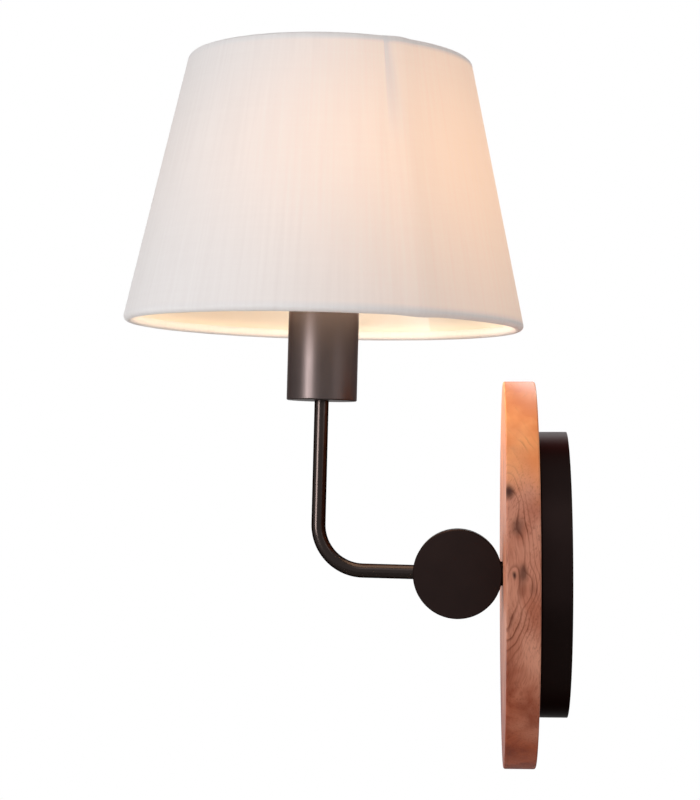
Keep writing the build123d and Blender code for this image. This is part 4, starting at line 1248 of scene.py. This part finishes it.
@dataclass
class Shade:
    """Hardback shade: woven cover rolled round two wire rings over a stiff liner, on a three-armed carrier.

    A ring is given by its radius and its height above the pivot.
    """

    ring_bottom_mm: tuple[float, float] = (109.3, 138.7)
    ring_top_mm: tuple[float, float] = (77.55, 283.3)
    cloth_t_mm: float = 0.5
    cloth_off_mm: float = 2.45
    roll_deg: float = 300.0
    roll_step_deg: float = 15.0
    row_mm: float = 2.6
    column_deg: float = 1.25
    lap_from_deg: float = 24.4
    lap_to_deg: float = 31.9
    lap_rise_mm: float = 0.52
    lap_ramp_deg: float = 6.0
    lap_edge: float = 0.1
    lap_edge_deg: float = 6.0
    lap_dim: float = 0.66
    lap_dim_from: float = 0.6
    lap_wedge_deg: tuple[float, float] = (3.0, 16.0)
    sharp_deg: float = 40.0
    arm_turns_deg: tuple[float, float, float] = (180.0, 300.0, 60.0)
    notch_half_mm: float = 2.3
    notch_roll_deg: tuple[float, float] = (170.0, 245.0)
    pucker_mm: float = 0.08
    pucker_seed: int = 7
    pucker_waves: range = range(9, 40, 3)
    pucker_heights: tuple[float, float] = (0.3, 1.0)
    bulb_z_mm: float = 207.0
    hem_fade_mm: float = 2.0
    hem_glow: float = 0.15
    # The painted glow's level and the power of its fall-off: their values at the flanks, and what the wall
    # side adds to the one and takes from the other.
    glow_level: float = 0.295
    glow_wall: float = 0.3
    fall_level: float = 1.2
    fall_wall: float = 0.95
    fall_wall_cubed: float = 0.3
    side_flattened: float = 0.25
    flat_m: tuple[float, float] = (0.676, 0.256)
    flat_area_m2: float = 0.1065

    def section(self) -> tuple[np.ndarray, np.ndarray, np.ndarray]:
        """Lays out the cloth's path in section, from the inside of the bottom hem to that of the top hem.

        Returns:
            Points as radius and height, unit normals, and how far each point is rolled past the cone, in
            degrees.
        """
        low, high = np.array(self.ring_bottom_mm), np.array(self.ring_top_mm)
        lean = math.degrees(math.atan2(low[0] - high[0], high[1] - low[1]))
        roll = np.arange(self.roll_deg, 0.0, -self.roll_step_deg)
        rise = np.linspace(0.0, 1.0, round(float(np.linalg.norm(high - low)) / self.row_mm))
        middles = np.vstack([
            np.repeat([low], len(roll), 0), low + rise[:, None] * (high - low),
            np.repeat([high], len(roll), 0)])
        past = np.concatenate([-roll, np.zeros(len(rise)), roll[::-1]])
        angle = np.radians(lean + past)
        normals = np.column_stack([np.cos(angle), np.sin(angle)])
        return middles + self.cloth_off_mm * normals, normals, past

    def lap(self) -> tuple[np.ndarray, np.ndarray, np.ndarray]:
        """Lays out the cloth's columns, from the lap's outer edge once round and on under the lap.

        Returns:
            The columns' angles in degrees, how far each lies outside the cone in millimetres, and its share
            of the cloth's thickness, which is less at the pressed edge.
        """
        end = 360 + self.lap_to_deg
        turns = np.linspace(self.lap_from_deg, end, round((end - self.lap_from_deg) / self.column_deg) + 1)
        step = np.clip((self.lap_to_deg + self.lap_ramp_deg - turns) / self.lap_ramp_deg, 0, 1)
        from_edge = np.clip((turns - self.lap_from_deg) / self.lap_edge_deg, 0, 1)
        share = self.lap_edge + (1 - self.lap_edge) * from_edge
        out = self.lap_rise_mm * step * step * (3 - 2 * step) - (1 - share) * self.cloth_t_mm / 2
        return turns, out, share

    def puckers(self, turns: np.ndarray) -> np.ndarray:
        """Works out the small waves of the rolled hems, from a fixed seed.

        Args:
            turns: The columns' angles, in degrees.

        Returns:
            How far each column stands out at a hem, in millimetres.
        """
        rng = np.random.default_rng(self.pucker_seed)
        angle = np.radians(turns)
        waves = sum(
            rng.uniform(*self.pucker_heights) * np.sin(angle * count + rng.uniform(0, 2 * math.pi))
            for count in self.pucker_waves)
        return self.pucker_mm * (0.5 + 0.5 * waves / np.abs(waves).max())

    def glow(
        self, points: np.ndarray, normals: np.ndarray, past: np.ndarray, turns: np.ndarray
    ) -> np.ndarray:
        """Works out the glow painted on the cloth as emission, for the bulb's light that comes through it.

        The light falls off with distance and slant from the bulb, some is evened out by the white inside,
        the hems and the lap's upper end hold it back, and more of it leaves towards the wall, as the
        photograph shows.

        Args:
            points: The section's points as radius and height.
            normals: Their unit normals.
            past: How far each is rolled past the cone, in degrees.
            turns: The columns' angles, in degrees.

        Returns:
            One amount for each row and column.
        """
        ray = points - np.array([0.0, self.bulb_z_mm])
        distance = np.linalg.norm(ray, axis=1)
        direct = np.clip((ray * normals).sum(1) / distance, 0, 1) / distance ** 2
        direct = direct / direct[past == 0].max()
        low, high = self.ring_bottom_mm[1], self.ring_top_mm[1]
        from_hem = np.minimum(points[:, 1] - low, high - points[:, 1]) / self.hem_fade_mm
        open_cloth = np.where(past == 0, np.clip(from_hem, 0.0, 1.0), 0.0)
        hem = self.hem_glow + (1 - self.hem_glow) * open_cloth
        side = np.sin(np.radians(turns))
        side = side * (1 - self.side_flattened * side ** 4)
        power = self.fall_level - self.fall_wall * side + self.fall_wall_cubed * side ** 3
        fall = direct[:, None] ** power[None, :]
        level = self.glow_level + self.glow_wall * side
        up = (points[:, 1] - low) / (high - low)
        narrow, spread = self.lap_wedge_deg
        into_lap = (turns[None, :] - self.lap_from_deg) / (narrow + spread * (1 - up))[:, None]
        most = self.lap_dim * np.clip((up - self.lap_dim_from) / (1 - self.lap_dim_from), 0.0, 1.0)
        held_back = 1 - most[:, None] * np.clip(1 - into_lap ** 2, 0.0, 1.0)
        return fall * hem[:, None] * level[None, :] * held_back

    def kept(self, past: np.ndarray, turns: np.ndarray) -> np.ndarray:
        """Says which faces stay: all but the notches for the carrier's arms in the bottom hem.

        Args:
            past: How far each row is rolled past the cone, in degrees.
            turns: The columns' angles, in degrees.

        Returns:
            True for each face that stays, by row and column.
        """
        row = -(past[:-1] + past[1:]) / 2
        column = (turns[:-1] + turns[1:]) / 2
        in_roll = (row > self.notch_roll_deg[0]) & (row < self.notch_roll_deg[1])
        at_arm = np.zeros(len(column), bool)
        for turn in self.arm_turns_deg:
            off = (column - turn + 180) % 360 - 180
            at_arm |= np.abs(np.radians(off)) * self.ring_bottom_mm[0] < self.notch_half_mm
        return ~(in_roll[:, None] & at_arm[None, :])

    def cover(self, rest: ArmRest, finishes: Finishes) -> bpy.types.Object:
        """Makes the woven cover as one open sheet whose ends lap, rolled at both hems.

        Args:
            rest: The arm's place.
            finishes: The lamp's finishes.

        Returns:
            The cover, with its thickness.
        """
        points, normals, past = self.section()
        turns, over, share = self.lap()
        at_hem = np.where(past == 0, 0.0, 1.0)
        out = over[None, :] + at_hem[:, None] * self.puckers(turns)[None, :]
        radius = points[:, :1] + out * normals[:, :1]
        height = points[:, 1:] + out * normals[:, 1:]
        angle = np.radians(turns)[None, :]
        grid = np.stack([radius * np.cos(angle), radius * np.sin(angle), height], 2)
        rows, columns = grid.shape[:2]
        index = np.arange(rows * columns).reshape(rows, columns)
        faces = np.stack([index[:-1, :-1], index[:-1, 1:], index[1:, 1:], index[1:, :-1]], 2)
        faces = faces[self.kept(past, turns)]
        mesh = bpy.data.meshes.new("shade_cover")
        mesh.from_pydata((grid.reshape(-1, 3) * MM).tolist(), [], faces.tolist())
        along = np.concatenate([[0.0], np.cumsum(np.linalg.norm(np.diff(points, axis=0), axis=1))])
        middle = (self.ring_bottom_mm[0] + self.ring_top_mm[0]) / 2
        flat = np.stack(np.broadcast_arrays(angle * middle, along[:, None]), 2).reshape(-1, 2) * MM
        corners = np.zeros(len(mesh.loops), np.int32)
        mesh.loops.foreach_get("vertex_index", corners)
        cloth = mesh.uv_layers.new(name="cloth")
        cloth.data.foreach_set("uv", flat[corners].astype(np.float32).ravel())
        # The painted glow, kept on the mesh for the cloth's emission.
        light = self.glow(points, normals, past, turns)
        lamp = mesh.attributes.new("painted_bulb_glow", "FLOAT", "POINT")
        lamp.data.foreach_set("value", light.astype(np.float32).ravel())
        mesh.materials.append(finishes.cotton)
        mesh.transform(rest.on_axis(0.0))
        mesh.shade_smooth()
        cover = bpy.data.objects.new("shade_cover", mesh)
        bpy.context.scene.collection.objects.link(cover)
        self.thicken(cover, index, share)
        return cover

    def thicken(self, cover: bpy.types.Object, index: np.ndarray, share: np.ndarray) -> None:
        """Gives the cover its thickness, less of it at the lap's pressed edge.

        Args:
            cover: The cover as a sheet without thickness.
            index: Its vertices' numbers, by row and column.
            share: Each column's share of the thickness.
        """
        pressed = cover.vertex_groups.new(name="pressed_lap_edge")
        for column, weight in zip(index.T.tolist(), share.tolist()):
            pressed.add(column, weight, "REPLACE")
        thick = cover.modifiers.new("cloth_thickness", "SOLIDIFY")
        thick.thickness = self.cloth_t_mm * MM
        thick.offset = 0.0
        thick.vertex_group = pressed.name
        keep_result(cover, thick)
        cover.data.set_sharp_from_angle(angle=math.radians(self.sharp_deg))

    def build(self, rest: ArmRest, finishes: Finishes) -> None:
        """Args:
            rest: The arm's place.
            finishes: The lamp's finishes.
        """
        cover = place_piece(self.cover(rest, finishes), Body.ARM, ["shade_fabric"])

    def dress(self, nodes: Nodes, finishes: Finishes) -> None:
        """Gives the shade's CAD pieces their finishes."""
        dress(nodes, finishes.liner, "shade_liner")
        dress(nodes, finishes.enamel, "shade_bottom_ring", "shade_top_ring", "carrier_plate", "carrier_arms")


@dataclass(frozen=True)
class SoftLight:
    """One studio lamp, aimed at the lamp's middle. Some only light surfaces, and some only show in metal."""

    name: str
    left_deg: float
    up_deg: float
    distance_m: float
    size_m: tuple[float, float]
    watts: float
    on_surfaces: bool = True
    in_metal: bool = True

    def place(self, target: Vector) -> None:
        """Hangs the light where the camera's side is +X and its left is -Y.

        Args:
            target: What it is aimed at.
        """
        left, up = math.radians(self.left_deg), math.radians(self.up_deg)
        way = Vector((math.cos(left) * math.cos(up), -math.sin(left) * math.cos(up), math.sin(up)))
        data = bpy.data.lights.new(self.name, "AREA")
        data.shape = "RECTANGLE"
        data.size, data.size_y = self.size_m
        data.energy = self.watts
        light = bpy.data.objects.new(self.name, data)
        light.location = target + way * self.distance_m
        light.rotation_euler = way.to_track_quat("Z", "Y").to_euler()
        light.visible_camera = False
        light.visible_diffuse = self.on_surfaces
        light.visible_glossy = self.in_metal
        bpy.context.scene.collection.objects.link(light)
        LOG.info("light %s: %.1f W", self.name, self.watts)


def turned(first: Vector, second: Vector, degrees: float) -> tuple[Vector, Vector]:
    """Turns two directions that are square to each other, in their plane.

    Args:
        first: The direction that turns towards the second.
        second: The direction that turns away from the first.
        degrees: The angle.

    Returns:
        Both directions after the turn.
    """
    cos, sin = math.cos(math.radians(degrees)), math.sin(math.radians(degrees))
    return cos * first + sin * second, cos * second - sin * first


@dataclass
class Studio:
    """Pale floor, soft light, white surroundings and the photograph's camera."""

    target_m: tuple[float, float, float] = (0.0, -0.1, 0.09)
    floor_z_m: float = -0.36
    floor_half_m: float = 6.0
    floor_colour: str = "#E9E8E6"
    white_from_m: float = 0.7
    white_to_m: float = 1.2
    fill_light: float = 0.28
    camera_m: tuple[float, float, float] = (1.10644, -0.05451, 0.05765)
    yaw_deg: float = -3.4152
    pitch_deg: float = 2.017
    roll_deg: float = -0.1642
    focal_px: float = 1975.5
    near_m: float = 0.05
    far_m: float = 50.0
    lights: tuple[SoftLight, ...] = (
        SoftLight("key_soft", 50.0, 2.0, 1.15, (0.3, 0.46), 5.0, in_metal=False),
        SoftLight("key_strip", 42.5, 2.0, 1.15, (0.4, 0.46), 13.0, on_surfaces=False),
        SoftLight("soft_front", 16.0, 44.0, 1.6, (1.0, 1.0), 4.8),
        SoftLight("fill_right", -55.0, 14.0, 1.5, (0.8, 0.8), 4.1),
        SoftLight("back_top", 180.0, 40.0, 1.4, (1.2, 0.8), 20.0, on_surfaces=False),
    )
    pool_z_mm: float = 147.0
    pool_d_mm: float = 176.0
    pool_watts: float = 0.34
    pool_colour: str = "#FFE6C6"

    def seen_or_mirrored(self, tree: Tree) -> Socket:
        """Gives 1 for rays from the camera, off gloss or through glass, and 0 for others.

        Args:
            tree: The tree that asks.

        Returns:
            The answer's socket.
        """
        path = add_node(tree, "ShaderNodeLightPath").outputs
        answer = path["Is Camera Ray"]
        for kind in ("Is Glossy Ray", "Is Transmission Ray"):
            answer = add_node(
                tree, "ShaderNodeMath", {0: answer, 1: path[kind]}, operation="MAXIMUM").outputs["Value"]
        return answer

    def floor(self) -> None:
        """Lays a pale floor that keeps the shadow near the lamp and is white further off."""
        half = self.floor_half_m
        mesh = bpy.data.meshes.new("floor")
        corners = [(-half, -half), (half, -half), (half, half), (-half, half)]
        mesh.from_pydata([(x, y, self.floor_z_m) for x, y in corners], [], [(0, 1, 2, 3)])
        material = bpy.data.materials.new("pale_floor")
        material.use_nodes = True
        tree = material.node_tree
        shader = tree.nodes["Principled BSDF"]
        plug(tree, shader, {"Base Color": linear(self.floor_colour), "Roughness": 0.8})
        place = add_node(tree, "ShaderNodeTexCoord").outputs["Object"]
        flat = add_node(tree, "ShaderNodeVectorMath", {0: place, 1: (1.0, 1.0, 0.0)}, operation="MULTIPLY")
        far = add_node(tree, "ShaderNodeVectorMath", {0: flat.outputs["Vector"]}, operation="LENGTH")
        fade = add_node(
            tree, "ShaderNodeMapRange",
            {"Value": far.outputs["Value"], "From Min": self.white_from_m, "From Max": self.white_to_m},
            interpolation_type="SMOOTHSTEP")
        amount = add_node(
            tree, "ShaderNodeMath", {0: fade.outputs["Result"], 1: self.seen_or_mirrored(tree)},
            operation="MULTIPLY")
        white = add_node(tree, "ShaderNodeEmission", {"Color": WHITE, "Strength": 1.0})
        mixed = add_node(
            tree, "ShaderNodeMixShader",
            {0: amount.outputs["Value"], 1: shader.outputs["BSDF"], 2: white.outputs["Emission"]})
        plug(tree, tree.nodes["Material Output"], {"Surface": mixed.outputs["Shader"]})
        mesh.materials.append(material)
        floor = bpy.data.objects.new("floor", mesh)
        bpy.context.scene.collection.objects.link(floor)

    def surroundings(self) -> None:
        """Makes a white world that lights other surfaces at a lower level."""
        world = bpy.data.worlds.new("white_studio")
        world.use_nodes = True
        tree = world.node_tree
        strength = add_node(
            tree, "ShaderNodeMapRange",
            {"Value": self.seen_or_mirrored(tree), "To Min": self.fill_light, "To Max": 1.0})
        plug(tree, tree.nodes["Background"], {"Color": WHITE, "Strength": strength.outputs["Result"]})
        bpy.context.scene.world = world

    def pool(self, rest: ArmRest) -> None:
        """Adds the warm light that leaves the shade downwards, and tilts with it.

        Args:
            rest: The arm's place.
        """
        data = bpy.data.lights.new("lamp_pool", "AREA")
        data.shape = "DISK"
        data.size = self.pool_d_mm * MM
        data.energy = self.pool_watts
        data.color = linear(self.pool_colour)[:3]
        light = bpy.data.objects.new("lamp_pool", data)
        light.matrix_world = rest.on_axis(self.pool_z_mm)
        light.visible_camera = False
        bpy.context.scene.collection.objects.link(light)
        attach(light, Body.ARM.value)

    def camera(self) -> None:
        """Sets the camera where the photograph was taken from."""
        ahead, right, up = Vector((-1, 0, 0)), Vector((0, 1, 0)), Vector((0, 0, 1))
        ahead, right = turned(ahead, right, self.yaw_deg)
        ahead, up = turned(ahead, up, self.pitch_deg)
        up, right = turned(up, right, self.roll_deg)
        data = bpy.data.cameras.new("photo_camera")
        data.sensor_width = SENSOR_MM
        data.lens = self.focal_px / IMAGE_HEIGHT_PX * SENSOR_MM
        data.clip_start, data.clip_end = self.near_m, self.far_m
        camera = bpy.data.objects.new("photo_camera", data)
        facing = Matrix((right, up, -ahead)).transposed().to_4x4()
        camera.matrix_world = Matrix.Translation(self.camera_m) @ facing
        bpy.context.scene.collection.objects.link(camera)
        bpy.context.scene.camera = camera

    def build(self, rest: ArmRest) -> None:
        """Builds floor, world, lights and camera.

        Args:
            rest: The arm's place.
        """
        bpy.context.scene.view_settings.view_transform = "Standard"
        self.floor()
        self.surroundings()
        for light in self.lights:
            light.place(Vector(self.target_m))
        self.pool(rest)
        self.camera()


def main() -> None:
    """Loads the frame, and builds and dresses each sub-assembly."""
    logging.basicConfig(level=logging.INFO, format="%(name)s: %(message)s")
    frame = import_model()
    nodes = frame["nodes"]
    rest = ArmRest()
    finishes = Finishes()
    threads = thread_tree()
    plate, knuckle, holder, bulb, shade = BackPlate(), Knuckle(), Lampholder(), Bulb(), Shade()
    plate.build(finishes)
    plate.dress(nodes, finishes)
    knuckle.build(nodes, finishes)
    knuckle.dress(nodes, finishes)
    holder.build(rest, threads, finishes)
    holder.dress(nodes, finishes)
    bulb.build(rest, threads, finishes)
    bulb.dress(nodes, finishes)
    shade.build(rest, finishes)
    shade.dress(nodes, finishes)
    Studio().build(rest)


if __name__ == "__main__":
    main()
